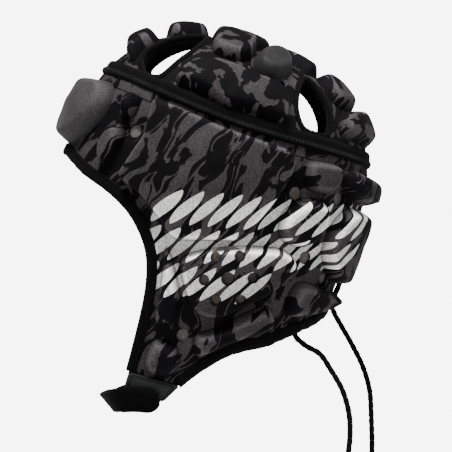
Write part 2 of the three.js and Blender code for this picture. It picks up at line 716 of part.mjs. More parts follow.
addPair('strap_patch', strapPatch(), VINYL);
addPiece(cap, 'chin_strap', chinStrap(), BLACK);
addPiece(cap, 'rear_lacing', rearLacing(), BLACK);

// The cap as worn: tilted back, with the head's highest point of contact at the origin
const tilt = new THREE.Matrix4().makeRotationX(-radians(CAP_TILT));
let seat = new THREE.Vector3(0, 0, -Infinity);
for (let lean = 0; lean < 60; lean += 0.5) {
  const point = lifted(domePoint(0, lean), -CLOTH_THICK).applyMatrix4(tilt);
  seat = point.z > seat.z ? point : seat;
}
cap.rotation.x = -radians(CAP_TILT);
cap.position.copy(seat).negate();

const worn = new THREE.Group();
worn.add(cap);
const toPoints = (route) => route.map((point) => new THREE.Vector3(...point));
addPiece(worn, 'lace_tail_left', laceTube(toPoints(LEFT_LACE), LACE_STEPS), BLACK);
addPiece(worn, 'lace_tail_right', laceTube(toPoints(RIGHT_LACE), LACE_STEPS), BLACK);

export default worn;
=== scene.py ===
import math

import bmesh
import bpy
import numpy as np
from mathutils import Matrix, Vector


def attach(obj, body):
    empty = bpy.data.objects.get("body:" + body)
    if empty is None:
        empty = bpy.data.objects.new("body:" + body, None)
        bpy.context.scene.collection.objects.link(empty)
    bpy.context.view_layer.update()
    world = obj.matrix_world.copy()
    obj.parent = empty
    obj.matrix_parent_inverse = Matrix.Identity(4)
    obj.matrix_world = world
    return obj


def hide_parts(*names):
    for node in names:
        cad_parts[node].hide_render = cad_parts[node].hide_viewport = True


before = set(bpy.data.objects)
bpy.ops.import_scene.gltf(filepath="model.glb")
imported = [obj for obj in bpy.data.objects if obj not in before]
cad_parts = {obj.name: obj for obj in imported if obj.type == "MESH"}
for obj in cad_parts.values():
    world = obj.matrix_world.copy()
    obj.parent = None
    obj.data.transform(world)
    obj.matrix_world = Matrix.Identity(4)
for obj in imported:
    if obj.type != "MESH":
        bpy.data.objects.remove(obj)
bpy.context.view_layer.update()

scene = bpy.context.scene


# Camera and studio.
# The cap is seen square on to its left side, from 1 m, at the height of the ears. Soft light comes from
# above and in front. Surround and floor look evenly white, and the floor lies well below the laces.
CAMERA_PLACE = (1.0, 0.0262, -0.12995)
CAMERA_WIDTH = 0.3164  # what the picture shows across at the middle plane
SENSOR_WIDTH = 36.0  # in millimetres, as a camera takes it
ROOM_LIGHT = 0.11
BACKDROP_GLOW = 7.0  # how bright the white surround looks, which sheds no such light itself
WHITE = (1.0, 1.0, 1.0, 1.0)
LAMPS = [
    # name, place, size, power, colour
    ("top_softbox", (0.5, -0.12, 1.1), 0.45, 31.0, (1.0, 0.99, 0.98)),
    ("side_softbox", (1.4, -0.5, 0.2), 0.7, 3.4, (1.0, 1.0, 1.0)),
    ("low_softbox", (1.2, -0.3, -0.38), 0.6, 1.6, (1.0, 1.0, 1.0)),
    ("back_softbox", (0.3, 1.2, 0.7), 0.8, 10.0, (0.98, 0.99, 1.0)),
]
LIT_PLACE = (0, 0.02, -0.12)
FLOOR_LEVEL = -0.42
FLOOR_REACH = 7.0
FLOOR_COLOUR = (0.8, 0.8, 0.8, 1)
FLOOR_ROUGHNESS = 0.9


def aim(thing, place, target):
    thing.location = place
    thing.rotation_euler = (Vector(target) - Vector(place)).to_track_quat("-Z", "Y").to_euler()


def glowing_to_the_eye(tree, lit, glow, output):
    """Shows a bright even white where the surround is looked at, and the lit shader to everything else."""
    ray = tree.nodes.new("ShaderNodeLightPath")
    choice = tree.nodes.new("ShaderNodeMixShader")
    tree.links.new(ray.outputs["Is Camera Ray"], choice.inputs[0])
    tree.links.new(lit.outputs[0], choice.inputs[1])
    tree.links.new(glow.outputs[0], choice.inputs[2])
    tree.links.new(choice.outputs[0], output.inputs["Surface"])


camera_data = bpy.data.cameras.new("camera")
camera_data.sensor_width = SENSOR_WIDTH
camera_data.lens = SENSOR_WIDTH * CAMERA_PLACE[0] / CAMERA_WIDTH
camera = bpy.data.objects.new("camera", camera_data)
scene.collection.objects.link(camera)
aim(camera, CAMERA_PLACE, (0, CAMERA_PLACE[1], CAMERA_PLACE[2]))
scene.camera = camera

for lamp_name, lamp_place, lamp_size, lamp_power, lamp_colour in LAMPS:
    lamp_data = bpy.data.lights.new(lamp_name, "AREA")
    lamp_data.shape = "DISK"
    lamp_data.size = lamp_size
    lamp_data.energy = lamp_power
    lamp_data.color = lamp_colour
    lamp = bpy.data.objects.new(lamp_name, lamp_data)
    scene.collection.objects.link(lamp)
    aim(lamp, lamp_place, LIT_PLACE)

world = bpy.data.worlds.new("studio")
world.use_nodes = True
room = world.node_tree.nodes["Background"]
surround = world.node_tree.nodes.new("ShaderNodeBackground")
for background, strength in ((room, ROOM_LIGHT), (surround, BACKDROP_GLOW)):
    background.inputs["Color"].default_value = WHITE
    background.inputs["Strength"].default_value = strength
glowing_to_the_eye(world.node_tree, room, surround, world.node_tree.nodes["World Output"])
scene.world = world

floor_turns = ((-1, -1), (1, -1), (1, 1), (-1, 1))
floor_corners = [(x * FLOOR_REACH, y * FLOOR_REACH, FLOOR_LEVEL) for x, y in floor_turns]
floor_mesh = bpy.data.meshes.new("floor")
floor_mesh.from_pydata(floor_corners, [], [(0, 1, 2, 3)])
floor = bpy.data.objects.new("floor", floor_mesh)
scene.collection.objects.link(floor)
floor_finish = bpy.data.materials.new("pale_floor")
floor_finish.use_nodes = True
floor_tree = floor_finish.node_tree
floor_shader = floor_tree.nodes["Principled BSDF"]
floor_shader.inputs["Base Color"].default_value = FLOOR_COLOUR
floor_shader.inputs["Roughness"].default_value = FLOOR_ROUGHNESS
floor_glow = floor_tree.nodes.new("ShaderNodeEmission")
floor_glow.inputs["Strength"].default_value = BACKDROP_GLOW
glowing_to_the_eye(floor_tree, floor_shader, floor_glow, floor_tree.nodes["Material Output"])
floor_mesh.materials.append(floor_finish)


# Lace tails.
# Two free ends of one round braided polyester lace, 4 mm thick. They leave the laced slot at the nape,
# one through the inside of the cap, and hang down behind it to their bare cut ends.
LACE_DIAMETER = 0.004
LACE_SIDES = 20
LACE_STEP = 0.0006
BRAID_STRANDS = 8
BRAID_PITCH = 0.011
BRAID_RELIEF = 0.00022
LACE_COLOUR = (0.0028, 0.0028, 0.0031, 1)
LEFT_LACE = [
    (0.008, 0.0979, -0.1718), (0.0083, 0.0944, -0.171), (0.0102, 0.0902, -0.1732), (0.014, 0.0874, -0.179),
    (0.02, 0.083, -0.186), (0.029, 0.0755, -0.1935), (0.038, 0.0725, -0.203), (0.0435, 0.0795, -0.21),
    (0.0455, 0.089, -0.2155), (0.046, 0.0962, -0.226), (0.046, 0.1032, -0.238), (0.046, 0.107, -0.249),
    (0.046, 0.1088, -0.259), (0.046, 0.109, -0.27), (0.046, 0.1077, -0.2835),
]
RIGHT_LACE = [
    (-0.007, 0.1009, -0.18415), (-0.009, 0.101, -0.1871), (-0.0101, 0.1032, -0.1925),
    (-0.0102, 0.1075, -0.2002), (-0.0096, 0.1136, -0.2108), (-0.009, 0.121, -0.225),
    (-0.009, 0.1255, -0.237), (-0.009, 0.1279, -0.248), (-0.009, 0.1286, -0.259), (-0.009, 0.129, -0.27),
    (-0.009, 0.1293, -0.281), (-0.009, 0.1293, -0.292),
]
LACE_POINTS = 60
LACE_END_SHARE = 0.7  # how thick the cut ends are drawn in
CROSS_HINT = (0.0, 0.3, 1.0)  # a direction that no lace starts along


def respaced(line, count, closed=False):
    """Evenly spaced points along a line of points."""
    line = np.vstack([line, line[:1]]) if closed else np.asarray(line)
    steps = np.linalg.norm(np.diff(line, axis=0), axis=1)
    run = np.concatenate([[0], np.cumsum(steps)])
    stops = np.linspace(0, run[-1], count + 1)[:-1] if closed else np.linspace(0, run[-1], count)
    return np.stack([np.interp(stops, run, line[:, k]) for k in range(line.shape[1])], axis=1)


def smooth_line(knots, count):
    """Evenly spaced points on a smooth line through the knots."""
    knots = np.asarray(knots, float)
    ends = np.vstack([2 * knots[0] - knots[1], knots, 2 * knots[-1] - knots[-2]])
    t = np.linspace(0, 1, 33)[:-1, None]
    stretches = []
    for a, b, c, d in zip(ends[:-3], ends[1:-2], ends[2:-1], ends[3:]):
        bend = (2 * a - 5 * b + 4 * c - d) * t ** 2 + (3 * b - a - 3 * c + d) * t ** 3
        stretches.append(b + 0.5 * ((c - a) * t + bend))
    return respaced(np.vstack(stretches + [knots[-1:]]), count)


def length_of(line):
    return float(np.linalg.norm(np.diff(line, axis=0), axis=1).sum())


def make_object(name, vertices, faces, print_place=None, pressed=None):
    """A piece from vertices and faces. Its print's place becomes its UV, and pressed holds two shares at
    each vertex for painted light: how deep it lies in a pressed groove, for painted shade, and how near it
    lies to the middle of a rounded edge, for a painted highlight."""
    mesh = bpy.data.meshes.new(name)
    mesh.from_pydata(np.asarray(vertices).tolist(), [], faces)
    if print_place is not None:
        corners = np.empty(len(mesh.loops), dtype=np.int32)
        mesh.loops.foreach_get("vertex_index", corners)
        layer = mesh.uv_layers.new(name="print_place")
        layer.data.foreach_set("uv", np.asarray(print_place, dtype=np.float32)[corners].ravel())
    mesh.update()
    if pressed is not None:
        shares = mesh.color_attributes.new(name="pressed", type="FLOAT_COLOR", domain="POINT")
        rows = np.zeros((len(pressed), 4), dtype=np.float32)
        rows[:, :2] = pressed
        rows[:, 3] = 1
        shares.data.foreach_set("color", rows.ravel())
    mesh.polygons.foreach_set("use_smooth", [True] * len(mesh.polygons))
    thing = bpy.data.objects.new(name, mesh)
    scene.collection.objects.link(thing)
    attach(thing, "root")
    return thing


def ring_faces(rows, count, first=0, closed_rows=False):
    """Quads between rows of points that each close on themselves."""
    faces = []
    for row in range(rows if closed_rows else rows - 1):
        a = first + row * count
        b = first + ((row + 1) % rows) * count
        faces += [(a + i, a + (i + 1) % count, b + (i + 1) % count, b + i) for i in range(count)]
    return faces


def capped_rings(rows, count, first=0):
    """Rows of points as a tube with a flat face over each end."""
    last = first + (rows - 1) * count
    caps = [tuple(first + k for k in reversed(range(count))), tuple(last + k for k in range(count))]
    return ring_faces(rows, count, first) + caps


def tipped_rings(rows, count):
    """Rows of points closed by a fan at each end, to two tips that are listed after the rows."""
    faces = ring_faces(rows, count)
    tip = rows * count
    for i in range(count):
        j = (i + 1) % count
        faces.append((tip, j, i))
        faces.append((tip + 1, tip - count + i, tip - count + j))
    return faces


def tube_frames(line):
    """A pair of cross directions at each point of a line, carried along without twist."""
    along = np.gradient(line, axis=0)
    along /= np.linalg.norm(along, axis=1)[:, None]
    side = np.cross(along[0], CROSS_HINT)
    sides = []
    for direction in along:
        side = side - direction * np.dot(side, direction)
        side = side / np.linalg.norm(side)
        sides.append(side)
    sides = np.array(sides)
    return sides, np.cross(along, sides)


def braided_lace(name, line):
    """A round lace whose surface shows the crossing strands of its braid."""
    steps = int(length_of(line) / LACE_STEP)
    line = respaced(line, steps)
    sides, ups = tube_frames(line)
    turn = np.linspace(0, 2 * math.pi, LACE_SIDES, endpoint=False)
    run = np.linspace(0, length_of(line), steps)[:, None]
    strands = BRAID_STRANDS / 2 * turn
    climb = 2 * (2 * math.pi * run / BRAID_PITCH)
    swell = np.maximum(np.sin(strands + climb), np.sin(strands - climb))
    radius = LACE_DIAMETER / 2 - BRAID_RELIEF * (1 - swell)
    radius[[0, -1]] *= LACE_END_SHARE
    around = np.cos(turn)[None, :, None] * sides[:, None] + np.sin(turn)[None, :, None] * ups[:, None]
    rings = line[:, None] + radius[:, :, None] * around
    return make_object(name, np.vstack([rings.reshape(-1, 3), line[:1], line[-1:]]),
                       tipped_rings(steps, LACE_SIDES))


class Wire:
    """An output in a shader tree. Plain arithmetic with it adds the math nodes that work it out."""

    def __init__(self, tree, socket):
        self.tree = tree
        self.socket = socket

    def math(self, operation, *others):
        node = self.tree.nodes.new("ShaderNodeMath")
        node.operation = operation
        for place, value in enumerate((self, *others)):
            feed(node.inputs[place], value)
        return Wire(self.tree, node.outputs[0])

    def __add__(self, other):
        return self.math("ADD", other)

    def __sub__(self, other):
        return self.math("SUBTRACT", other)

    def __rsub__(self, other):
        return self.math("MULTIPLY_ADD", -1.0, other)

    def __mul__(self, other):
        return self.math("MULTIPLY", other)

    def __truediv__(self, other):
        return self.math("DIVIDE", other)

    def __pow__(self, other):
        return self.math("POWER", other)

    def __abs__(self):
        return self.math("ABSOLUTE")


def feed(socket, value):
    """Links a wire to a socket, or sets the socket to a plain value."""
    if isinstance(value, Wire):
        value.tree.links.new(value.socket, socket)
    else:
        socket.default_value = value


def add_node(tree, kind, output, inputs, **settings):
    """A shader node with its settings and inputs; gives one of its outputs as a wire."""
    node = tree.nodes.new(kind)
    for key, value in settings.items():
        setattr(node, key, value)
    for key, value in inputs.items():
        feed(node.inputs[key], value)
    return Wire(tree, node.outputs[output])


def noise(place, scale, detail=2.0, roughness=0.5, output="Fac"):
    return add_node(place.tree, "ShaderNodeTexNoise", output,
                    {"Vector": place, "Scale": scale, "Detail": detail, "Roughness": roughness})


def spread(value, low, high, low_out=0.0, high_out=1.0, kind="SMOOTHSTEP"):
    """Carries a value from one range over to another, and holds it at that range's ends."""
    limits = {"From Min": low, "From Max": high, "To Min": low_out, "To Max": high_out}
    return add_node(value.tree, "ShaderNodeMapRange", "Result", {"Value": value, **limits},
                    interpolation_type=kind)


def mix_colour(tree, share, first, second, blend="MIX"):
    # the mix node has sockets for each kind of value: these are its factor, colours and colour result
    return add_node(tree, "ShaderNodeMix", 2, {0: share, 6: first, 7: second}, data_type="RGBA",
                    blend_type=blend)


def shaded(colour, shade):
    """A colour made lighter or darker by a value about 1."""
    parts = {"Red": shade, "Green": shade, "Blue": shade}
    even = add_node(shade.tree, "ShaderNodeCombineColor", "Color", parts)
    return mix_colour(shade.tree, 1.0, colour, even, "MULTIPLY")


def relief(height, distance, strength, onto=None):
    inputs = {"Height": height, "Distance": distance, "Strength": strength}
    if onto is not None:
        inputs["Normal"] = onto
    return add_node(height.tree, "ShaderNodeBump", "Normal", inputs)


def object_place(tree):
    return add_node(tree, "ShaderNodeTexCoord", "Object", {})


def new_finish(name, roughness, sheen, sheen_roughness, specular):
    """A material with one Principled shader, which keeps its own even values."""
    finish = bpy.data.materials.new(name)
    finish.use_nodes = True
    shader = finish.node_tree.nodes["Principled BSDF"]
    shader.inputs["Roughness"].default_value = roughness
    shader.inputs["Sheen Weight"].default_value = sheen
    shader.inputs["Sheen Roughness"].default_value = sheen_roughness
    shader.inputs["Specular IOR Level"].default_value = specular
    return finish, finish.node_tree, shader


def new_group(name, inputs, outputs):
    """A shader node group; gives it, its inputs as wires, and the node that takes its results."""
    group = bpy.data.node_groups.new(name, "ShaderNodeTree")
    for socket_name, socket_type, value in inputs:
        socket = group.interface.new_socket(name=socket_name, in_out="INPUT", socket_type=socket_type)
        if value is not None:
            socket.default_value = value
    for socket_name in outputs:
        group.interface.new_socket(name=socket_name, in_out="OUTPUT", socket_type="NodeSocketFloat")
    given = group.nodes.new("NodeGroupInput")
    wires = {socket_name: Wire(group, given.outputs[socket_name]) for socket_name, _, _ in inputs}
    return group, wires, group.nodes.new("NodeGroupOutput")


def use_group(tree, group, inputs):
    """A node that uses a shared group; gives its outputs as wires."""
    node = tree.nodes.new("ShaderNodeGroup")
    node.node_tree = group
    for key, value in inputs.items():
        feed(node.inputs[key], value)
    return {socket.name: Wire(tree, socket) for socket in node.outputs}


# yarn: the fine speckle and relief of knitted and braided yarn, shared by every cloth of the cap
yarn_group, given, result = new_group(
    "yarn", [("Place", "NodeSocketVector", None), ("Pitch", "NodeSocketFloat", 1300.0),
             ("Contrast", "NodeSocketFloat", 0.3)], ["Height", "Shade"])
loops = add_node(yarn_group, "ShaderNodeTexVoronoi", "Distance",
                 {"Vector": given["Place"], "Scale": given["Pitch"]}, feature="F1")
fuzz = noise(given["Place"], given["Pitch"] * 0.45, 3.0)
height = spread(loops, 0.0, 0.75, 1.0, 0.0) * 0.6 + spread(fuzz, 0.3, 0.7) * 0.4
feed(result.inputs["Height"], height)
feed(result.inputs["Shade"], (height - 0.5) * given["Contrast"] + 1.0)


def black_cloth(name, colour, roughness, sheen, pitch, contrast, distance):
    """Dark knitted or braided cloth, with its yarn showing."""
    finish, tree, shader = new_finish(name, roughness, sheen, sheen_roughness=0.4, specular=0.08)
    place = object_place(tree)
    yarn = use_group(tree, yarn_group, {"Place": place, "Pitch": pitch, "Contrast": contrast})
    wear = spread(noise(place, 90.0, 3.0), 0.3, 0.7, 0.8, 1.25)
    feed(shader.inputs["Base Color"], shaded(colour, yarn["Shade"] * wear))
    feed(shader.inputs["Normal"], relief(yarn["Height"], distance, 0.6))
    return finish


lace_finish = black_cloth("braided_lace", LACE_COLOUR, roughness=0.8, sheen=0.03,
                          pitch=2200.0, contrast=0.7, distance=0.00012)
for lace_side, lace_knots in (("left", LEFT_LACE), ("right", RIGHT_LACE)):
    lace_line = smooth_line(lace_knots, LACE_POINTS)
    lace_tail = braided_lace(f"{lace_side}_lace_end", lace_line)
    lace_tail.data.materials.append(lace_finish)
    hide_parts(f"lace_tail_{lace_side}")


# Lower cloth.
# The sides, nape and ear flaps are one wall of thin foam between a printed knit and a black lining. It
# is pressed to a rounded form, punched with round vents, and slit at the nape for the lacing.
HALF_WIDTH = 0.079
HALF_LENGTH = 0.104
CROWN_RISE = 0.097
WIDEST_DROP = 0.05
FLAP_DROP = 0.202
SEAM_SAG = 0.008
PLAN_POWER = 2.3
RISE_POWER = 2.5
JAW_NARROWING = 0.22
JAW_POWER = 1.6
CAP_TILT = math.radians(19.8)
CLOTH_THICK = 0.0025
EDGE_INSET = 0.0018
WALL_CUT = 0.006
LACE_GAP = 0.008
LACE_GAP_TOP = 0.15
WALL_SCALE = (HALF_WIDTH + HALF_LENGTH) / 2  # metres of cloth in a radian round the cap
VENT_RADIUS = 0.0043
EAR_VENT_RADIUS = 0.0035
EAR_RING_RADIUS = 0.016
EAR_RING_TURN = math.radians(21)
VENT_DISH = 0.0011
VENT_DISH_WIDTH = 0.0075
VENT_SIDES = 28
CLOTH_SLACK = 0.00018
CLOTH_SLACK_SIZE = 0.02
SEAM_GAP = 0.0003
HALF_COLUMNS = 250
OUTER_ROWS = 84
INNER_ROWS = 24
EDGE = [
    # degrees round the cap at the seam and at the edge, and the edge's depth as a share of FLAP_DROP
    (0, 0, 0.325), (18, 18, 0.335), (34, 34, 0.372), (46, 46, 0.395), (55, 57, 0.43), (61, 65, 0.475),
    (66, 71, 0.525), (70, 75, 0.58), (74, 78, 0.655), (78, 80, 0.75), (82, 81.5, 0.86), (86, 83, 0.97),
    (90, 86, 1), (96, 101, 0.985), (101, 106, 0.95), (106, 110, 0.9), (114, 117, 0.825), (124, 126, 0.755),
    (136, 138, 0.7), (150, 151, 0.625), (166, 166, 0.565), (177, 177, 0.54),
]
WALL_VENTS = [(49.5, 0.185), (101.5, 0.755), (127.5, 0.2), (148, 0.165), (141.5, 0.385), (156, 0.43)]
EAR_RING = (111, 0.525)
CLOTH_GREY = (0.045, 0.0405, 0.043, 1)
CLOTH_BLACK = (0.0012, 0.001, 0.0017, 1)
SILVER = (0.76, 0.76, 0.74, 1)


def plan_radius(girth):
    side = np.abs(np.sin(girth)) / HALF_WIDTH
    back = np.abs(np.cos(girth)) / HALF_LENGTH
    return (side ** PLAN_POWER + back ** PLAN_POWER) ** (-1 / PLAN_POWER)


def jaw_share(level):
    fall = np.maximum(0, -WIDEST_DROP - level) / (FLAP_DROP - WIDEST_DROP)
    return 1 - JAW_NARROWING * fall ** JAW_POWER


def wall_point(girth, level):
    rise = np.clip((level + WIDEST_DROP) / CROWN_RISE, 0, 0.9999)
    radius = plan_radius(girth) * (1 - rise ** RISE_POWER) ** (1 / RISE_POWER)
    return np.stack([radius * np.sin(girth) * jaw_share(level), -radius * np.cos(girth), level], axis=-1)


def form_value(p):
    side = np.abs(p[..., 0]) / (HALF_WIDTH * jaw_share(p[..., 2]))
    plan = side ** PLAN_POWER + (np.abs(p[..., 1]) / HALF_LENGTH) ** PLAN_POWER
    rise = np.maximum(0, p[..., 2] + WIDEST_DROP) / CROWN_RISE
    return plan ** (RISE_POWER / PLAN_POWER) + rise ** RISE_POWER


def form_normal(points):
    nudge = 0.0005
    slopes = []
    for axis in np.eye(3) * nudge:
        slopes.append(form_value(points + axis) - form_value(points - axis))
    normal = np.stack(slopes, axis=-1)
    return normal / np.linalg.norm(normal, axis=-1, keepdims=True)


def lifted(points, lift):
    return points + form_normal(points) * np.asarray(lift)[..., None]


def on_wall(chart, lift):
    """Points over the wall: chart is metres round the cap and the level, lift is out from the cloth."""
    return lifted(wall_point(chart[..., 0] / WALL_SCALE, chart[..., 1]), lift)


def wall_chart(corners):
    corners = np.asarray(corners, float)
    return np.stack([np.radians(corners[..., 0]) * WALL_SCALE, -corners[..., 1] * FLAP_DROP], axis=-1)


def seam_level(arc):
    return -SEAM_SAG * np.sin(arc / WALL_SCALE) ** 2


def dome_point(girth, tilt):
    out = np.sin(tilt)
    up = np.cos(tilt)
    closeness = (out / plan_radius(girth)) ** RISE_POWER + (np.abs(up) / CROWN_RISE) ** RISE_POWER
    reach = closeness ** (-1 / RISE_POWER)
    across = reach * out
    return np.stack([across * np.sin(girth), -across * np.cos(girth), reach * up - WIDEST_DROP], axis=-1)


# the cap is tilted back as it is worn, and its highest inner point is the origin
TILT_ROWS = np.array([[1, 0, 0], [0, math.cos(CAP_TILT), math.sin(CAP_TILT)],
                      [0, -math.sin(CAP_TILT), math.cos(CAP_TILT)]])
crest = lifted(dome_point(np.zeros(120), np.radians(np.arange(0, 60, 0.5))), -CLOTH_THICK) @ TILT_ROWS.T
SEAT = crest[np.argmax(crest[:, 2])]


def worn(points):
    return points @ TILT_ROWS.T - SEAT


def soft_wander(points, size, seed):
    """A smooth random value from -1 to 1 over space, with features of about the given size."""
    dice = np.random.default_rng(seed)
    total = np.zeros(points.shape[:-1])
    for _ in range(9):
        wave = dice.normal(size=3)
        wave *= 2 * math.pi / size / np.linalg.norm(wave) * dice.uniform(0.6, 1.5)
        total += np.sin(points @ wave + dice.uniform(0, 2 * math.pi))
    return total / 4.0


def edge_columns(count):
    """Columns of the lower cloth over one half, evenly spaced along its edge: foot, inward, top."""
    knots = [(math.radians(foot) * WALL_SCALE, -drop * FLAP_DROP, math.radians(top) * WALL_SCALE)
             for top, foot, drop in EDGE]
    line = smooth_line(knots, count)
    run = np.gradient(line[:, :2], axis=0)
    run /= np.linalg.norm(run, axis=1)[:, None]
    return line[:, :2], np.stack([-run[:, 1], run[:, 0]], axis=1), line[:, 2]


def both_halves(foot, inward, top):
    """The columns of one half followed by their mirror images, round the whole cap."""
    flip = np.array([-1, 1])
    return (np.vstack([foot, foot[:0:-1] * flip]), np.vstack([inward, inward[:0:-1] * flip]),
            np.concatenate([top, -top[:0:-1]]))


half_foot, half_inward, half_top = edge_columns(HALF_COLUMNS)
foot, inward, top = both_halves(half_foot, half_inward, half_top)
ear_ring = wall_chart(EAR_RING)
ear_vents = [(ear_ring, VENT_RADIUS)]
for i in range(6):
    spoke = EAR_RING_TURN + i * math.pi / 3
    spoke_end = EAR_RING_RADIUS * np.array([math.cos(spoke), math.sin(spoke)])
    ear_vents.append((ear_ring + spoke_end, EAR_VENT_RADIUS))
wall_vents = [(wall_chart(vent), VENT_RADIUS) for vent in WALL_VENTS]


def cloth_lift(chart):
    """Small relief of the wall: a shallow dish round each vent, and the slack of pressed cloth."""
    level_chart = np.concatenate([chart, chart[..., :1] * 0], axis=-1)
    lift = CLOTH_SLACK * soft_wander(level_chart, CLOTH_SLACK_SIZE, seed=5)
    mirrored_chart = np.stack([np.abs(chart[..., 0]), chart[..., 1]], axis=-1)
    for centre, radius in wall_vents:
        away = np.linalg.norm(mirrored_chart - centre, axis=-1)
        lift = lift - VENT_DISH * np.exp(-(away / VENT_DISH_WIDTH) ** 4)
    return lift


def cloth_rows(rows, lift, relieved):
    """Rows of points from the seam to the edge, and their places on the print."""
    shares = np.linspace(0, 1, rows)[:, None, None]
    high = np.stack([top, seam_level(top) - SEAM_GAP], axis=-1)
    low = foot + inward * EDGE_INSET
    chart = high * (1 - shares) + low * shares
    extra = cloth_lift(chart) if relieved else 0
    return worn(on_wall(chart, lift + extra + np.zeros(chart.shape[:-1]))), chart


def plug(centre, radius, place, reach, side):
    """A round cutting block through the cloth."""
    turn = np.linspace(0, 2 * math.pi, VENT_SIDES, endpoint=False)
    chart = centre + radius * np.stack([np.cos(turn), np.sin(turn)], axis=-1)
    chart = chart * np.array([side, 1])
    return [worn(place(chart, np.full(len(turn), lift))) for lift in (-reach, reach)]


def cutter(name, blocks):
    """One object that holds the cutting blocks, given as pairs of rings."""
    vertices = []
    faces = []
    for low_ring, high_ring in blocks:
        faces += capped_rings(2, len(low_ring), len(vertices))
        vertices += [*low_ring, *high_ring]
    mesh = bpy.data.meshes.new(name)
    mesh.from_pydata([tuple(v) for v in vertices], [], faces)
    mesh.materials.append(None)
    mesh.materials.append(None)
    mesh.polygons.foreach_set("material_index", [1] * len(mesh.polygons))
    thing = bpy.data.objects.new(name, mesh)
    scene.collection.objects.link(thing)
    return thing


def cut_out(piece, blocks):
    """Cuts the blocks out of a piece; the new walls take its second material."""
    tool = cutter(f"{piece.name}_tool", blocks)
    bm = bmesh.new()
    bm.from_mesh(tool.data)
    bmesh.ops.recalc_face_normals(bm, faces=bm.faces)
    bm.to_mesh(tool.data)
    bm.free()
    cutting = piece.modifiers.new("cut", "BOOLEAN")
    cutting.operation = "DIFFERENCE"
    cutting.solver = "EXACT"
    cutting.object = tool
    graph = bpy.context.evaluated_depsgraph_get()
    result = bpy.data.meshes.new_from_object(piece.evaluated_get(graph))
    piece.modifiers.remove(cutting)
    piece.data = result
    bpy.data.objects.remove(tool)


def wall_plugs(vents, reach, sides=(1, -1)):
    return [plug(centre, radius, on_wall, reach, side) for side in sides for centre, radius in vents]


def parts_of(place):
    """The x and y of a place, as wires."""
    node = place.tree.nodes.new("ShaderNodeSeparateXYZ")
    feed(node.inputs["Vector"], place)
    return Wire(place.tree, node.outputs["X"]), Wire(place.tree, node.outputs["Y"])


# shards: long pointed shapes of black on grey, drawn out along a slant and swayed a little
SHARD_SCALE = 62.0
SPLINTER_SCALE = 95.0
SWAY_SCALE = 28.0
SWAY_SIZE = 0.03
TAPER_FROM = 0.4
TAPER_SHARE = 0.42
shard_group, given, result = new_group(
    "shard_print",
    [("Place", "NodeSocketVector", None), ("Slant", "NodeSocketFloat", 1.0),
     ("Scale", "NodeSocketFloat", 1.0), ("Stretch", "NodeSocketFloat", 3.0),
     ("Cover", "NodeSocketFloat", 0.5)], ["Black", "Tone"])
turned = add_node(shard_group, "ShaderNodeVectorRotate", "Vector",
                  {"Vector": given["Place"], "Angle": given["Slant"] * -1.0}, rotation_type="Z_AXIS")
sway = noise(turned, SWAY_SCALE, 1.0, output="Color")
sway = add_node(shard_group, "ShaderNodeVectorMath", "Vector", {0: sway, 1: (0.5, 0.5, 0.5)},
                operation="SUBTRACT")
sway = add_node(shard_group, "ShaderNodeVectorMath", "Vector", {0: sway, "Scale": SWAY_SIZE},
                operation="SCALE")
swayed = add_node(shard_group, "ShaderNodeVectorMath", "Vector", {0: turned, 1: sway}, operation="ADD")
x, y = parts_of(swayed)
drawn = add_node(shard_group, "ShaderNodeCombineXYZ", "Vector", {"X": x / given["Stretch"], "Y": y})
shard = noise(drawn, given["Scale"] * SHARD_SCALE, 1.6, 0.42)
splinter = noise(drawn, given["Scale"] * SPLINTER_SCALE, 1.0)
# a ribbon runs where the first noise is near its middle, and the second noise tapers it to points
ribbon = abs(shard - 0.5)
taper = (splinter - TAPER_FROM) * TAPER_SHARE
blot = shard - given["Cover"]
over = (taper - ribbon).math("MAXIMUM", blot)
feed(result.inputs["Black"], spread(over, -0.005, 0.005))
feed(result.inputs["Tone"], spread(noise(given["Place"], 22.0), 0.3, 0.7, 0.86, 1.16))

# lozenges: three rows of slanted silver shapes, which climb, crowd and shrink towards the nape
LOZENGE_LEAN = math.radians(57)
LOZENGE_PITCH = 0.0155
LOZENGE_ROW = 0.0245
LOZENGE_FOOT = 0.139
LOZENGE_CLIMB = 0.24
LOZENGE_CROWDING = 2.6
LOZENGE_FROM = math.radians(70) * WALL_SCALE
LOZENGE_TO = math.radians(166) * WALL_SCALE
LOZENGE_SHRINK = 0.85
LOZENGE_HALF_LENGTH = LOZENGE_ROW * 0.46
LOZENGE_HALF_WIDTH = LOZENGE_PITCH * 0.4
LOZENGES_HIGH = 12.5
LOZENGES_LOW = 6.5
lozenge_group, given, result = new_group(
    "silver_lozenges", [("Place", "NodeSocketVector", None)], ["Silver"])
x, y = parts_of(given["Place"])
around = abs(x)
reached = around - LOZENGE_FROM
row_place = (y - reached * LOZENGE_CLIMB + LOZENGE_FOOT) / LOZENGE_ROW
row = row_place.math("FLOOR")
in_row = (row_place - row - 0.5) * LOZENGE_ROW
straight = reached - in_row * (1 / math.tan(LOZENGE_LEAN))
crowded = straight * (straight * LOZENGE_CROWDING + 1.0)
# every second row is set half a lozenge on
column_place = crowded / LOZENGE_PITCH + row.math("MODULO", 2.0) * 0.5
column = column_place.math("FLOOR")
in_column = (column_place - column - 0.5) * LOZENGE_PITCH
shrink = spread(around, LOZENGE_FROM, LOZENGE_TO, 1.0, LOZENGE_SHRINK, "LINEAR")
rim = (abs(in_row) / LOZENGE_HALF_LENGTH) ** 1.9 + (abs(in_column) / (shrink * LOZENGE_HALF_WIDTH)) ** 1.35
inside = spread(rim, 0.97, 1.03, 1.0, 0.0)
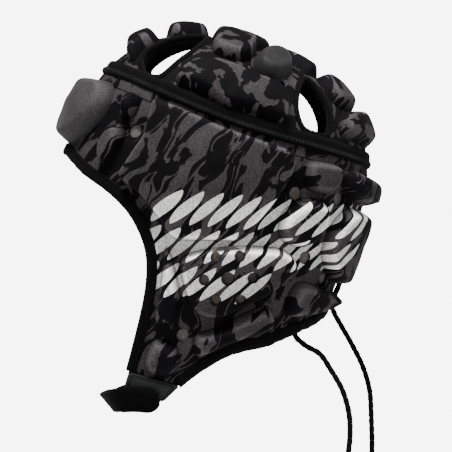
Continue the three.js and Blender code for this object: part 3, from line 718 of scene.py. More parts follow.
# rows 0 to 2 only, and the lowest row is the shortest
rows_on = row.math("GREATER_THAN", -0.5) * row.math("LESS_THAN", 2.5)
row_end = spread(row, 0.2, 0.8, LOZENGES_LOW, LOZENGES_HIGH)
reach_on = column.math("GREATER_THAN", -0.5) * column.math("LESS_THAN", row_end)
feed(result.inputs["Silver"], inside * (rows_on * reach_on))

# a pressed line runs a little way below the seam all round; the wall is painted dark along it, as shade in
# the crease
CREASE_DEPTH = 0.0118
CREASE_WIDTH = 0.0009
crease_group, given, result = new_group("pressed_line", [("Place", "NodeSocketVector", None)], ["Crease"])
x, y = parts_of(given["Place"])
wave = (x / WALL_SCALE).math("SINE")
below_seam = y + wave * wave * SEAM_SAG + CREASE_DEPTH
feed(result.inputs["Crease"], spread(abs(below_seam), 0.0, CREASE_WIDTH, 1.0, 0.0))

# painted light: the pads' pressed feet are painted darker, as shade in the grooves, and their knit is painted
# paler along the rounded edge, as a highlight
painted_pad_light_group, given, result = new_group(
    "painted_groove_shade_and_edge_highlight", [("Shares", "NodeSocketColor", None), ("Depth", "NodeSocketFloat", 0.8),
                              ("Painted_Highlight", "NodeSocketFloat", 0.4)], ["Shade"])
shares = painted_pad_light_group.nodes.new("ShaderNodeSeparateColor")
feed(shares.inputs["Color"], given["Shares"])
painted_groove_shade = 1.0 - Wire(painted_pad_light_group, shares.outputs["Red"]) * given["Depth"]
painted_edge_highlight = Wire(painted_pad_light_group, shares.outputs["Green"]) * given["Painted_Highlight"] + 1.0
feed(result.inputs["Shade"], painted_groove_shade * painted_edge_highlight)

KNIT_PITCH = 1500.0
KNIT_RELIEF = 0.0001
LINING_COLOUR = (0.003, 0.003, 0.0034, 1)
SIDE_SHARDS = {"Slant": 1.24, "Scale": 1.5, "Stretch": 2.9, "Cover": 0.572}


def painted_pad_light(tree, depth, highlight_strength):
    """Painted shade in a pad's pressed groove and a painted highlight along its rounded edge, as a factor on
    its cloth's colour.
    """
    shares = add_node(tree, "ShaderNodeAttribute", "Color", {}, attribute_name="pressed")
    return use_group(tree, painted_pad_light_group, {"Shares": shares, "Depth": depth, "Painted_Highlight": highlight_strength})["Shade"]


def printed_cloth(name, form, silver=False, creased=False):
    """Printed knit: the shards, the silver where it is wanted, and the knit's own grain. Painted shade
    darkens the pads' pressed feet and, where creased, the pressed line, and a painted highlight pales the
    pads' edges.
    """
    finish, tree, shader = new_finish(name, roughness=0.75, sheen=0.02, sheen_roughness=0.35, specular=0.1)
    place = add_node(tree, "ShaderNodeUVMap", "UV", {}, uv_map="print_place")
    shards = use_group(tree, shard_group, {"Place": place, **form})
    ground = mix_colour(tree, shards["Black"], CLOTH_GREY, CLOTH_BLACK)
    if silver:
        lozenges = use_group(tree, lozenge_group, {"Place": place})
        ground = mix_colour(tree, lozenges["Silver"], ground, SILVER)
    yarn = use_group(tree, yarn_group, {"Place": object_place(tree), "Pitch": KNIT_PITCH, "Contrast": 1.0})
    # the pads' pressed feet are painted darker as shade, and their rounded edges paler as a highlight
    tone = yarn["Shade"] * shards["Tone"] * painted_pad_light(tree, 0.82, 1.0)
    grain = relief(yarn["Height"], KNIT_RELIEF, 0.5)
    if creased:
        open_cloth = 1.0 - use_group(tree, crease_group, {"Place": place})["Crease"]
        # the wall is painted dark along the pressed line, as shade in the crease
        tone = tone * spread(open_cloth, 0.0, 1.0, 0.2, 1.0)
        grain = relief(open_cloth, 0.0006, 0.8, grain)
    feed(shader.inputs["Base Color"], shaded(ground, tone))
    feed(shader.inputs["Normal"], grain)
    return finish


side_print = printed_cloth("side_print", SIDE_SHARDS, silver=True)
wall_print = printed_cloth("wall_print", SIDE_SHARDS, silver=True, creased=True)
lining_finish = black_cloth("black_lining", LINING_COLOUR, roughness=0.9, sheen=0.02,
                            pitch=KNIT_PITCH, contrast=0.5, distance=KNIT_RELIEF)

outer_rows, outer_chart = cloth_rows(OUTER_ROWS, 0.0, True)
inner_rows, inner_chart = cloth_rows(INNER_ROWS, -CLOTH_THICK, False)
around_count = outer_rows.shape[1]
cloth_vertices = np.vstack([outer_rows.reshape(-1, 3), inner_rows[::-1].reshape(-1, 3)])
cloth_places = np.vstack([outer_chart.reshape(-1, 2), inner_chart[::-1].reshape(-1, 2)])
lower_cloth = make_object("lower_wall", cloth_vertices,
                          ring_faces(OUTER_ROWS + INNER_ROWS, around_count, closed_rows=True), cloth_places)
lower_cloth.data.materials.append(wall_print)
lower_cloth.data.materials.append(lining_finish)
outer_faces = (OUTER_ROWS - 1) * around_count
lower_cloth.data.polygons.foreach_set(
    "material_index", [0 if i < outer_faces else 1 for i in range(len(lower_cloth.data.polygons))])
slot_top = -LACE_GAP_TOP * FLAP_DROP
slot_rings = []
for slot_depth in (HALF_LENGTH * 0.8, HALF_LENGTH * 1.2):
    slot_corners = [(-1, -FLAP_DROP), (1, -FLAP_DROP), (1, slot_top), (-1, slot_top)]
    slot_ring = [(side * LACE_GAP / 2, slot_depth, level) for side, level in slot_corners]
    slot_rings.append(worn(np.array(slot_ring)))
cut_out(lower_cloth, wall_plugs(wall_vents + ear_vents, WALL_CUT) + [slot_rings])
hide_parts("lower_cloth")


# Vent shade discs.
# Behind each vent lies a thin grey-brown disc, painted shade for the dim inside of the cap that shows
# through the holes. The larger round at the ear lies between the two layers of the ear pad.
EAR_SHADE_DISC_RADIUS = 0.0203
VENT_SHADE_DISC_RADIUS = 0.0072
VENT_SHADE_DISC_LIFT = -0.0029
EAR_SHADE_DISC_LIFT = 0.0066
SHADE_DISC_THICK = 0.0004
SHADE_DISC_SIDES = 64
SHADE_DISC_SHARES = [0.04, 0.25, 0.5, 0.75, 1.0]
SHADE_DISC_RINGS = [(0.0, share) for share in SHADE_DISC_SHARES]
SHADE_DISC_RINGS += [(-SHADE_DISC_THICK, share) for share in reversed(SHADE_DISC_SHARES)]
# grey-brown painted shade, seen through the vents
VENT_SHADE_COLOUR = (0.15, 0.135, 0.125, 1)
SIDES = (("left", 1), ("right", -1))
vent_shade_finish = black_cloth("painted_vent_shade", VENT_SHADE_COLOUR, roughness=0.9, sheen=0.03,
                                 pitch=KNIT_PITCH, contrast=0.8, distance=KNIT_RELIEF)
shade_disc_turn = np.linspace(0, 2 * math.pi, SHADE_DISC_SIDES, endpoint=False)
shade_disc_round = np.stack([np.cos(shade_disc_turn), np.sin(shade_disc_turn)], axis=-1)
for side_name, side in SIDES:
    shade_discs = [(centre, VENT_SHADE_DISC_RADIUS, VENT_SHADE_DISC_LIFT) for centre, _ in wall_vents]
    shade_discs.append((ear_ring, EAR_SHADE_DISC_RADIUS, EAR_SHADE_DISC_LIFT))
    shade_disc_points = []
    shade_disc_faces = []
    for centre, radius, lift in shade_discs:
        first = len(shade_disc_points) * SHADE_DISC_SIDES
        shade_disc_faces += capped_rings(len(SHADE_DISC_RINGS), SHADE_DISC_SIDES, first)
        for drop, share in SHADE_DISC_RINGS:
            ring = (centre + shade_disc_round * radius * share) * np.array([side, 1])
            shade_disc_points.append(worn(on_wall(ring, np.full(len(ring), lift + drop))))
    if side > 0:
        shade_disc_faces = [face[::-1] for face in shade_disc_faces]
    vent_shade = make_object(f"{side_name}_vent_shade_discs", np.vstack(shade_disc_points), shade_disc_faces)
    vent_shade.data.materials.append(vent_shade_finish)
    shade_disc_area = math.pi * sum(radius ** 2 for _, radius, _ in shade_discs)


# Crown cloth.
# The same printed cloth closes the top of the cap. Four large openings between its arms let air in,
# and small round vents sit at the feet of the pads.
DOME_SCALE = CROWN_RISE
CROWN_COLUMNS = 300
CROWN_OUTER_ROWS = 80
CROWN_INNER_ROWS = 36
CROWN_OPENINGS = [
    [(40, 59.5), (30, 54), (28.5, 44), (27.5, 32), (28, 25), (43, 30), (50, 40), (49, 53), (47.5, 58.5)],
    [(136, 58.5), (124, 57.5), (120, 50), (121, 42), (125, 35.5), (133, 31), (138, 39), (139.5, 50)],
]
CROWN_VENTS = [(87, 38.5), (109, 39.5)]
OPENING_ROUND = 0.007
OPENING_STEP = 0.0015
CROWN_CUT = 0.008
CROWN_SHARDS = {"Slant": 0.9, "Scale": 1.9, "Stretch": 1.45, "Cover": 0.49}


def on_dome(chart, lift):
    girth = np.arctan2(chart[..., 0], -chart[..., 1])
    return lifted(dome_point(girth, np.linalg.norm(chart, axis=-1) / DOME_SCALE), lift)


def dome_chart(corners):
    girth = np.radians(np.asarray(corners, float)[..., 0])
    reach = np.radians(np.asarray(corners, float)[..., 1]) * DOME_SCALE
    return np.stack([np.sin(girth) * reach, -np.cos(girth) * reach], axis=-1)


def rounded_outline(corners, radius, step):
    """An outline with its corners rounded, as evenly spaced points."""
    line = []
    t = np.linspace(0, 1, 12)[:, None]
    for i, corner in enumerate(corners):
        before = corners[i - 1] - corner
        after = corners[(i + 1) % len(corners)] - corner
        start = corner + before * min(radius / np.linalg.norm(before), 0.45)
        end = corner + after * min(radius / np.linalg.norm(after), 0.45)
        line.append(start * (1 - t) ** 2 + corner * 2 * t * (1 - t) + end * t ** 2)
    line = np.vstack(line)
    around = length_of(np.vstack([line, line[:1]]))
    return respaced(line, int(around / step), closed=True)


crown_rings = []
crown_charts = []
crown_girth = np.linspace(0, 2 * math.pi, CROWN_COLUMNS, endpoint=False)
crown_seam = wall_point(crown_girth, seam_level(crown_girth * WALL_SCALE) + SEAM_GAP)
crown_edge_tilt = np.arctan2(np.hypot(crown_seam[:, 0], crown_seam[:, 1]), crown_seam[:, 2] + WIDEST_DROP)
for rows, lift in ((CROWN_OUTER_ROWS, 0.0), (CROWN_INNER_ROWS, -CLOTH_THICK)):
    tilts = crown_edge_tilt[None] * (np.arange(1, rows + 1) / rows)[:, None]
    points = dome_point(np.broadcast_to(crown_girth, tilts.shape), tilts)
    crown_rings.append(worn(lifted(points, np.full(tilts.shape, lift))))
    flat = np.stack([np.sin(crown_girth) * tilts, -np.cos(crown_girth) * tilts], axis=-1)
    crown_charts.append(flat * DOME_SCALE)
crown_top = CROWN_RISE - WIDEST_DROP
apex = worn(np.array([[0, 0, crown_top], [0, 0, crown_top - CLOTH_THICK]]))
crown_vertices = np.vstack([crown_rings[0].reshape(-1, 3), crown_rings[1][::-1].reshape(-1, 3), apex])
crown_places = np.vstack([crown_charts[0].reshape(-1, 2), crown_charts[1][::-1].reshape(-1, 2),
                          np.zeros((2, 2))])
crown_faces = tipped_rings(CROWN_OUTER_ROWS + CROWN_INNER_ROWS, CROWN_COLUMNS)
crown_print = printed_cloth("crown_print", CROWN_SHARDS)
crown_cloth = make_object("crown_wall", crown_vertices, crown_faces, crown_places)
crown_cloth.data.materials.append(crown_print)
crown_cloth.data.materials.append(lining_finish)
crown_outer_faces = (CROWN_OUTER_ROWS - 1) * CROWN_COLUMNS
crown_index = [0 if i < crown_outer_faces else 1 for i in range(len(crown_faces))]
crown_index[-2 * CROWN_COLUMNS::2] = [0] * CROWN_COLUMNS
crown_cloth.data.polygons.foreach_set("material_index", crown_index)
crown_blocks = []
for _, side in SIDES:
    for corners in CROWN_OPENINGS:
        outline = rounded_outline(dome_chart(corners), OPENING_ROUND, OPENING_STEP) * np.array([side, 1])
        lifts = (-CROWN_CUT, CROWN_CUT)
        crown_blocks.append([worn(on_dome(outline, np.full(len(outline), lift))) for lift in lifts])
    for vent in CROWN_VENTS:
        crown_blocks.append(plug(dome_chart(vent), VENT_RADIUS, on_dome, CROWN_CUT, side))
cut_out(crown_cloth, crown_blocks)
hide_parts("crown_cloth")


# Opening lips.
# Each crown opening is edged with a soft black facing, folded over the raw edge of the printed cloth and
# caught down by one row of stitches.
LIP_SECTION = [
    # distance out from the opening's edge and lift from the cloth's outer face
    (0.0034, -0.0003), (0.0033, 0.0004), (0.0028, 0.0008), (0.0021, 0.0008), (0.0014, 0.0011),
    (0.0006, 0.0011), (-0.0003, 0.0007), (-0.0008, -0.0002), (-0.0008, -0.002), (-0.0003, -0.003),
    (0.0008, -0.0034), (0.0028, -0.0033), (0.0036, -0.0028), (0.0036, -0.0016),
]
LIP_STEP = 0.0011
LIP_PUCKER = 0.00015


def outward_of(outline):
    """Directions away from the inside of a closed flat outline."""
    run = np.roll(outline, -1, axis=0) - np.roll(outline, 1, axis=0)
    run /= np.linalg.norm(run, axis=1)[:, None]
    area = np.sum(outline[:, 0] * np.roll(outline[:, 1], -1) - np.roll(outline[:, 0], -1) * outline[:, 1])
    return np.stack([run[:, 1], -run[:, 0]], axis=1) * np.sign(area)


lip_finish = black_cloth("black_facing", (0.0024, 0.0024, 0.0028, 1), roughness=0.9, sheen=0.03,
                         pitch=KNIT_PITCH, contrast=0.6, distance=0.00012)
for side_name, side in SIDES:
    for place_name, corners in zip(("front", "rear"), CROWN_OPENINGS):
        outline = rounded_outline(dome_chart(corners), OPENING_ROUND, LIP_STEP) * np.array([side, 1])
        away = outward_of(outline)
        pucker = LIP_PUCKER * np.sin(np.arange(len(outline)) * 1.9)
        rings = []
        for out, lift in LIP_SECTION:
            extra = pucker if lift > 0 else 0 * pucker
            rings.append(worn(on_dome(outline + away * (out + pucker[:, None]), lift + extra)))
        lip = make_object(f"{side_name}_{place_name}_opening_lip", np.vstack(rings),
                          ring_faces(len(LIP_SECTION), len(outline), closed_rows=True))
        lip.data.materials.append(lip_finish)


# Foam pads.
# Each pad is a block of closed-cell foam about 9 mm thick, laminated under the printed knit, which is
# stretched over its rounded edge and pressed down to the cloth round its foot.
PAD_LIFT = 0.0099
CROWN_PAD_LIFT = 0.0084
PAD_SPREAD = 0.0006
CROWN_PAD_SPREAD = 0.0021
CROWN_SHOULDER = 0.0055
PAD_DOME = 0.0015
PAD_ROUND = 0.007
PAD_FLARE = 0.001
PAD_SHOULDER = 0.0044
PAD_STEP = 0.0014
EAR_CUT = 0.02
PAD_RINGS = 26
PAD_FOOT_LIFT = -0.0005
PAD_UNDER_LIFT = -0.0009
PAD_FLARE_SHARES = [1.0, 0.66, 0.33]
PAD_UNEVEN = 0.00028
PAD_UNEVEN_SIZE = 0.016
WALL_PADS = [
    # name, corners as degrees round the cap and depth as a share of FLAP_DROP
    ("upper_temple_pad", [(39, 0.095), (43, 0.06), (47, 0.095), (47, 0.145), (42, 0.155)]),
    ("lower_temple_pad", [(37, 0.24), (39, 0.19), (43, 0.175), (46, 0.21), (46.5, 0.25), (43, 0.305),
                          (39, 0.315)]),
    ("side_pad", [(52, 0.065), (88, 0.085), (122, 0.08), (123, 0.14), (119, 0.26), (112, 0.4), (82, 0.47),
                  (72, 0.415), (60, 0.36), (50, 0.345), (53, 0.25), (55.5, 0.18)]),
    ("ear_pad", [(88, 0.52), (98, 0.47), (113, 0.42), (130, 0.385), (137, 0.405), (136, 0.455), (131, 0.53),
                 (115, 0.655), (106, 0.675), (99, 0.64), (93, 0.58)]),
    ("front_ear_pad", [(79.5, 0.49), (86, 0.545), (92, 0.61), (96.5, 0.665), (95.5, 0.72), (87, 0.755),
                       (85.5, 0.68), (84, 0.61)]),
    ("flap_pad", [(88.5, 0.8), (95, 0.785), (101, 0.795), (105, 0.84), (102, 0.9), (89, 0.91)]),
    ("jaw_pad", [(106, 0.735), (113, 0.71), (122, 0.64), (132, 0.565), (138, 0.615), (136, 0.65), (125, 0.71),
                 (116, 0.775), (110.5, 0.81)]),
    ("rear_upper_pad", [(127, 0.09), (143.5, 0.065), (144, 0.12), (141, 0.165), (132, 0.175), (128, 0.14)]),
    ("rear_middle_pad", [(124, 0.29), (127, 0.24), (133, 0.2), (142, 0.195), (144, 0.26), (142, 0.33),
                         (136, 0.36), (127, 0.355)]),
    ("rear_slab", [(148, 0.24), (154, 0.18), (174, 0.175), (174, 0.425), (162, 0.43), (152, 0.39),
                   (147, 0.34)]),
    ("rear_lower_pad", [(139, 0.555), (141, 0.465), (150, 0.46), (158, 0.475), (174, 0.46), (174, 0.5),
                        (163, 0.52), (155, 0.545), (145, 0.585)]),
]
PAD_FORMS = {
    # the softer pads: shoulder, lift and rounding of the corners
    "front_ear_pad": (0.0065, 0.0078, 0.009), "flap_pad": (0.008, 0.0062, 0.01),
    "jaw_pad": (0.0062, 0.0085, 0.009), "rear_upper_pad": (0.0055, 0.0096, 0.009),
    "rear_middle_pad": (0.0065, 0.0096, 0.011), "rear_slab": (0.0052, 0.0099, 0.011),
    "rear_lower_pad": (0.0062, 0.0088, 0.012), "upper_temple_pad": (0.006, 0.0085, 0.009),
    "lower_temple_pad": (0.006, 0.0085, 0.009),
}
# corners of the crown's pads are degrees round the cap and degrees down from the top
CROWN_SIDE_PAD = [(56, 57), (57, 49), (67, 42), (78, 40.5), (98, 41.5), (108, 41.5), (113, 46), (115, 57),
                  (84, 56.5)]
NAPE_PAD = [(147, 0.062), (149, 0.148), (171, 0.158), (172, 0.048)]
NAPE_SHOULDER = 0.0066
NAPE_ROUND = 0.01
REAR_ARM_SHOULDER = 0.0078
ARM_SHARDS = {"Slant": 0.15, "Scale": 1.8, "Stretch": 2.4, "Cover": 0.56}
REAR_ARM_LIFTS = {"rear_arm_top_pad": 0.0068, "rear_arm_middle_pad": 0.0077}
MIDDLE_CROWN_PADS = [
    # name, corners of the left half, which its mirror image completes
    ("front_arm_pad", [(29, 58), (26, 53), (25, 45), (8, 42.5)]),
    ("front_arm_top_pad", [(10, 37), (24, 37), (23, 33), (19, 26), (8, 23)]),
    ("crown_hub_pad", [(25, 19.5), (46, 27), (62, 36), (78, 34), (84, 30), (81, 18), (92, 9), (140, 3.5)]),
    ("rear_arm_top_pad", [(142, 7.5), (132, 13), (140, 20), (138, 26), (145, 28), (165, 24.5)]),
    ("rear_arm_middle_pad", [(160, 28), (145, 31.5), (144, 38), (147, 44), (165, 43.5)]),
    ("rear_arm_pad", [(160, 47), (148, 48.5), (145, 52), (144, 57), (165, 58)]),
]


def away_from(points, outline):
    """How far each point lies from a closed outline."""
    nearest = np.full(points.shape[0], np.inf)
    for a, b in zip(outline, np.roll(outline, -1, axis=0)):
        span = b - a
        share = np.clip((points - a) @ span / (span @ span), 0, 1)
        nearest = np.minimum(nearest, np.linalg.norm(points - a - share[:, None] * span, axis=1))
    return nearest


def pad_rise(depth, shoulder):
    """Share of the pad's height at a depth inside its outline: hollow at the foot, then a round shoulder."""
    x = np.clip((depth + PAD_FLARE) / (shoulder + PAD_FLARE), 0, 1)
    return (1 - (1 - x) ** 2.7) ** 1.75


def foam_pad(name, corners, place, lift, shoulder, seed, corner_round=PAD_ROUND):
    """A pad over its outline: flared foot, rounded edge and gently domed, slightly uneven top."""
    outline = rounded_outline(corners, corner_round, PAD_STEP)
    outward = outward_of(outline)
    outline = outline + outward * (CROWN_PAD_SPREAD if place is on_dome else PAD_SPREAD)
    middle = (outline.min(axis=0) + outline.max(axis=0)) / 2
    count = len(outline)
    charts = [outline + outward * PAD_FLARE * k for k in PAD_FLARE_SHARES]
    depths = [np.full(count, -PAD_FLARE * k) for k in PAD_FLARE_SHARES]
    shares = [1.0] * len(PAD_FLARE_SHARES)
    for k in range(PAD_RINGS):
        share = 1 - (k / PAD_RINGS) ** 1.7
        ring = middle + (outline - middle) * share
        charts.append(ring)
        depths.append(away_from(ring, outline) if k else np.zeros(count))
        shares.append(share)
    chart = np.array(charts)
    depth = np.array(depths)
    rise = pad_rise(depth, shoulder)
    heights = PAD_FOOT_LIFT + (lift - PAD_FOOT_LIFT) * rise + PAD_DOME * (1 - np.array(shares)[:, None] ** 2)
    seeded_chart = np.concatenate([chart, chart[..., :1] * 0 + seed], axis=-1)
    heights += PAD_UNEVEN * soft_wander(seeded_chart, PAD_UNEVEN_SIZE, seed) * rise
    under = worn(place(charts[0], np.full(count, PAD_UNDER_LIFT)))
    tip_lifts = (PAD_UNDER_LIFT, lift + PAD_DOME)
    tips = [worn(place(middle[None], np.array([tip_lift]))) for tip_lift in tip_lifts]
    vertices = np.vstack([under, worn(place(chart, heights)).reshape(-1, 3), *tips])
    # two shares of painted light: shade that darkens the pad's pressed foot, and a highlight that pales the
    # knit along its rounded edge
    groove_shade = np.clip(1 - (rise - 0.02) / 0.45, 0, 1) ** 1.5
    edge_highlight = np.clip(1 - np.abs(depth - 0.55 * shoulder) / (0.5 * shoulder), 0, 1)
    groove_shade = np.concatenate([np.ones(count), groove_shade.ravel(), [1, 0]])
    edge_highlight = np.concatenate([np.zeros(count), edge_highlight.ravel(), [0, 0]])
    places = np.vstack([charts[0], chart.reshape(-1, 2), middle[None], middle[None]])
    faces = tipped_rings(len(charts) + 1, count)
    if corner_turn(place, charts[0]) < 0:
        faces = [face[::-1] for face in faces]
    pad = make_object(name, vertices, faces, places, np.stack([groove_shade, edge_highlight], axis=1))
    return pad


def corner_turn(place, ring):
    """Above zero where a ring runs anticlockwise as seen from outside the cap, else below zero."""
    points = place(ring, np.zeros(len(ring)))
    middle = points.mean(axis=0)
    normal = form_normal(middle[None])[0]
    total = np.cross(points - middle, np.roll(points, -1, axis=0) - middle).sum(axis=0)
    return float(total @ normal)


def mirrored_corners(corners, middle=0):
    return list(corners) + [(2 * middle - girth, depth) for girth, depth in reversed(corners)]


arm_print = printed_cloth("arm_print", ARM_SHARDS)
for index, (name, corners) in enumerate(WALL_PADS):
    for side_name, side in SIDES:
        shoulder, lift, corner_round = PAD_FORMS.get(name, (PAD_SHOULDER, PAD_LIFT, PAD_ROUND))
        pad = foam_pad(f"{side_name}_{name}", wall_chart(corners) * np.array([side, 1]), on_wall, lift,
                       shoulder, seed=index + 1, corner_round=corner_round)
        pad.data.materials.append(side_print)
        if name == "ear_pad":
            pad.data.materials.append(lining_finish)
            cut_out(pad, wall_plugs(ear_vents, EAR_CUT, (side,)))
        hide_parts(f"{name}_{side_name}")
name = "crown_side_pad"
for side_name, side in SIDES:
    pad = foam_pad(f"{side_name}_{name}", dome_chart(CROWN_SIDE_PAD) * np.array([side, 1]), on_dome,
                   CROWN_PAD_LIFT, CROWN_SHOULDER, seed=31)
    pad.data.materials.append(crown_print)
    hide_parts(f"{name}_{side_name}")
nape_pad = foam_pad("upper_nape_pad", wall_chart(mirrored_corners(NAPE_PAD, 180)), on_wall, PAD_LIFT,
                    NAPE_SHOULDER, seed=21, corner_round=NAPE_ROUND)
nape_pad.data.materials.append(side_print)
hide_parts("nape_pad")
for index, (name, corners) in enumerate(MIDDLE_CROWN_PADS):
    at_rear = name.startswith("rear")
    lift = REAR_ARM_LIFTS.get(name, CROWN_PAD_LIFT)
    shoulder = REAR_ARM_SHOULDER if at_rear else CROWN_SHOULDER
    pad = foam_pad(f"whole_{name}", dome_chart(mirrored_corners(corners)), on_dome, lift, shoulder,
                   seed=index + 41)
    pad.data.materials.append(arm_print if at_rear else crown_print)
    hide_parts(name)


# Plain pads.
# One thick foam roll runs over the brow, from temple to temple, and a small pad sits on each side of the
# crown's hub. Their knit is a plain soft grey; the hub pads take a darker copy of it, as painted shade.
BROW_LIFT = 0.0112
BROW_SHOULDER = 0.008
BROW_PAD = [(29.5, 0.06), (33.5, 0.12), (32.5, 0.18), (27, 0.24), (20, 0.285)]
HUB_SIDE_SHOULDER = 0.0078
HUB_SIDE_PAD = [(91, 24), (91, 35), (102, 38), (110, 36), (119, 30), (124, 20), (107, 17)]
PLAIN_GREY = (0.05, 0.047, 0.0485, 1)
# the same plain grey knit made darker: painted shade for the crown hub's side pads
PLAIN_GREY_PAINTED_SHADE = (0.019, 0.0178, 0.0186, 1)


def plain_cloth(name, colour):
    """Plain grey knit with a soft, slightly mottled nap, painted shade at the pads' pressed feet and a faint
    painted highlight along their rounded edges.
    """
    finish, tree, shader = new_finish(name, roughness=0.62, sheen=0.08, sheen_roughness=0.4, specular=0.2)
    place = object_place(tree)
    yarn = use_group(tree, yarn_group, {"Place": place, "Pitch": KNIT_PITCH, "Contrast": 0.8})
    mottle = spread(noise(place, 60.0, 3.0), 0.3, 0.7, 0.85, 1.2)
    # the pads' pressed feet are painted darker as shade, and their rounded edges a little paler as a
    # highlight
    tone = yarn["Shade"] * mottle * painted_pad_light(tree, 0.75, 0.2)
    feed(shader.inputs["Base Color"], shaded(colour, tone))
    feed(shader.inputs["Normal"], relief(yarn["Height"], KNIT_RELIEF, 0.5))
    return finish


plain_finish = plain_cloth("plain_grey_knit", PLAIN_GREY)
hub_shaded_finish = plain_cloth("plain_grey_knit_painted_shade", PLAIN_GREY_PAINTED_SHADE)
brow_pad = foam_pad("brow_roll", wall_chart(mirrored_corners(BROW_PAD)), on_wall, BROW_LIFT,
                    BROW_SHOULDER, seed=61)
brow_pad.data.materials.append(plain_finish)
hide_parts("brow_pad")
for side_name, side in SIDES:
    hub_pad = foam_pad(f"{side_name}_crown_hub_side_pad", dome_chart(HUB_SIDE_PAD) * np.array([side, 1]),
                       on_dome, CROWN_PAD_LIFT, HUB_SIDE_SHOULDER, seed=32)
    hub_pad.data.materials.append(hub_shaded_finish)
    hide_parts(f"crown_hub_side_pad_{side_name}")


# Seam tape.
# A black tape, 9 mm wide, covers the seam between the crown and the lower cloth all the way round. Its
# lower half carries a close row of short cover stitches.
TAPE_WIDTH = 0.009
TAPE_LIFT = 0.0021
TAPE_SECTION = [
    # share of the width across the seam and share of the lift
    (-0.56, -0.4), (-0.54, 0.5), (-0.46, 0.95), (-0.3, 1), (-0.1, 0.93), (-0.02, 0.8), (0.06, 0.93),
    (0.25, 1.02), (0.44, 0.95), (0.53, 0.5), (0.56, -0.4),
]
TAPE_WAVES = [
    # slow waves of the tape's edges: height, length in a radian, and where they start
    (0.00012, 0.0031, 0), (0.0001, 0.0083, 1),
]
TAPE_COLUMNS = 420
STITCH_PITCH = 0.00165
STITCH_LENGTH = 0.0026
STITCH_WIDTH = 0.00055
STITCH_DROP = 0.0038
STITCH_OUT_DROP = 0.0025
STITCH_SIDES = 6
STITCH_FORM = [
    # share along the stitch, share of its width, and rise out of the cloth in widths
    (0.0, 0.5, -0.5), (0.15, 0.9, 0.35), (0.5, 1.0, 0.6), (0.85, 0.9, 0.35), (1.0, 0.5, -0.5),
]


def seam_place(arc, across, lift):
    level = seam_level(arc) + across
    return worn(on_wall(np.stack([arc, level + arc * 0], axis=-1), lift + arc * 0))


tape_arc = np.linspace(0, 2 * math.pi * WALL_SCALE, TAPE_COLUMNS, endpoint=False)
tape_wave = sum(height * np.sin(tape_arc / reach + start) for height, reach, start in TAPE_WAVES)
tape_rings = [seam_place(tape_arc, across * TAPE_WIDTH + tape_wave, TAPE_LIFT * out)
              for across, out in TAPE_SECTION]
seam_tape = make_object("cover_tape", np.vstack(tape_rings),
                        ring_faces(len(TAPE_SECTION), TAPE_COLUMNS, closed_rows=True))
tape_finish = black_cloth("black_tape", (0.0022, 0.0022, 0.0026, 1), roughness=0.85, sheen=0.03,
                          pitch=1300.0, contrast=0.7, distance=0.00015)
seam_tape.data.materials.append(tape_finish)
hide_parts("seam_tape")


def stitch_shape(start, end, out, width):
    """One stitch: a short thread that dips into the cloth at both ends."""
    along = end - start
    side = np.cross(along, out)
    side /= np.linalg.norm(side)
    rings = []
    for share, size, rise in STITCH_FORM:
        centre = start + along * share + out * width * rise
        for turn in range(STITCH_SIDES):
            angle = turn * 2 * math.pi / STITCH_SIDES
            rings.append(centre + (side * math.cos(angle) + out * math.sin(angle)) * width / 2 * size)
    return rings


def stitch_rows(name, stitches, width, finish):
    """Joined stitches, each given by its two ends and the direction out of the cloth."""
    vertices = []
    faces = []
    for start, end, out in stitches:
        faces += capped_rings(len(STITCH_FORM), STITCH_SIDES, len(vertices))
        vertices += stitch_shape(start, end, out, width)
    thing = make_object(name, np.array(vertices), faces)
    thing.data.materials.append(finish)


def out_of(low, high):
    """Directions out of the cap, from worn points and the same points lifted."""
    out = high - low
    return out / np.linalg.norm(out, axis=-1, keepdims=True)


thread_finish = black_cloth("grey_thread", (0.026, 0.026, 0.028, 1), roughness=0.7, sheen=0.03,
                            pitch=3000.0, contrast=0.5, distance=0.00005)
stitch_count = int(2 * math.pi * WALL_SCALE / STITCH_PITCH)
stitch_arc = np.linspace(0, 2 * math.pi * WALL_SCALE, stitch_count, endpoint=False)
low_ends = seam_place(stitch_arc, -STITCH_DROP, TAPE_LIFT)
high_ends = seam_place(stitch_arc, STITCH_LENGTH - STITCH_DROP, TAPE_LIFT)
outs = out_of(*[seam_place(stitch_arc, -STITCH_OUT_DROP, lift) for lift in (0.0, 0.001)])
stitch_rows("tape_stitches", zip(low_ends, high_ends, outs), STITCH_WIDTH, thread_finish)


# Edge bindings.
# The face edge and the two nape edges are bound with a folded black knit tape, sewn through near its
# inner border. It puckers a little along the curves.
BINDING_SECTION = [
    # distance in from the edge and lift from the cloth's outer face
    (0.0074, -0.0002), (0.0073, 0.0008), (0.0066, 0.0013), (0.0056, 0.0011), (0.0048, 0.0014),
    (0.0034, 0.0017), (0.0018, 0.0017), (0.0005, 0.0013), (-0.0004, 0.0004), (-0.0008, -0.001),
    (-0.0008, -0.0026), (-0.0003, -0.0039), (0.0008, -0.0045), (0.0025, -0.0047), (0.0045, -0.0046),
    (0.0062, -0.0044), (0.0072, -0.0038), (0.0073, -0.0027), (0.006, -0.0018), (0.006, -0.0008),
]
BINDING_PUCKER = 0.00022
BINDING_SWAY = 0.00012
BINDING_THREAD = 0.0006
BINDING_THREAD_LIFTS = (0.0003, 0.0011)
BINDING_STITCH_SHARE = 0.66
PATCH_TOP = 0.915
BINDING_STITCH_PITCH = 0.0032
BINDING_STITCH_INSET = 0.0056


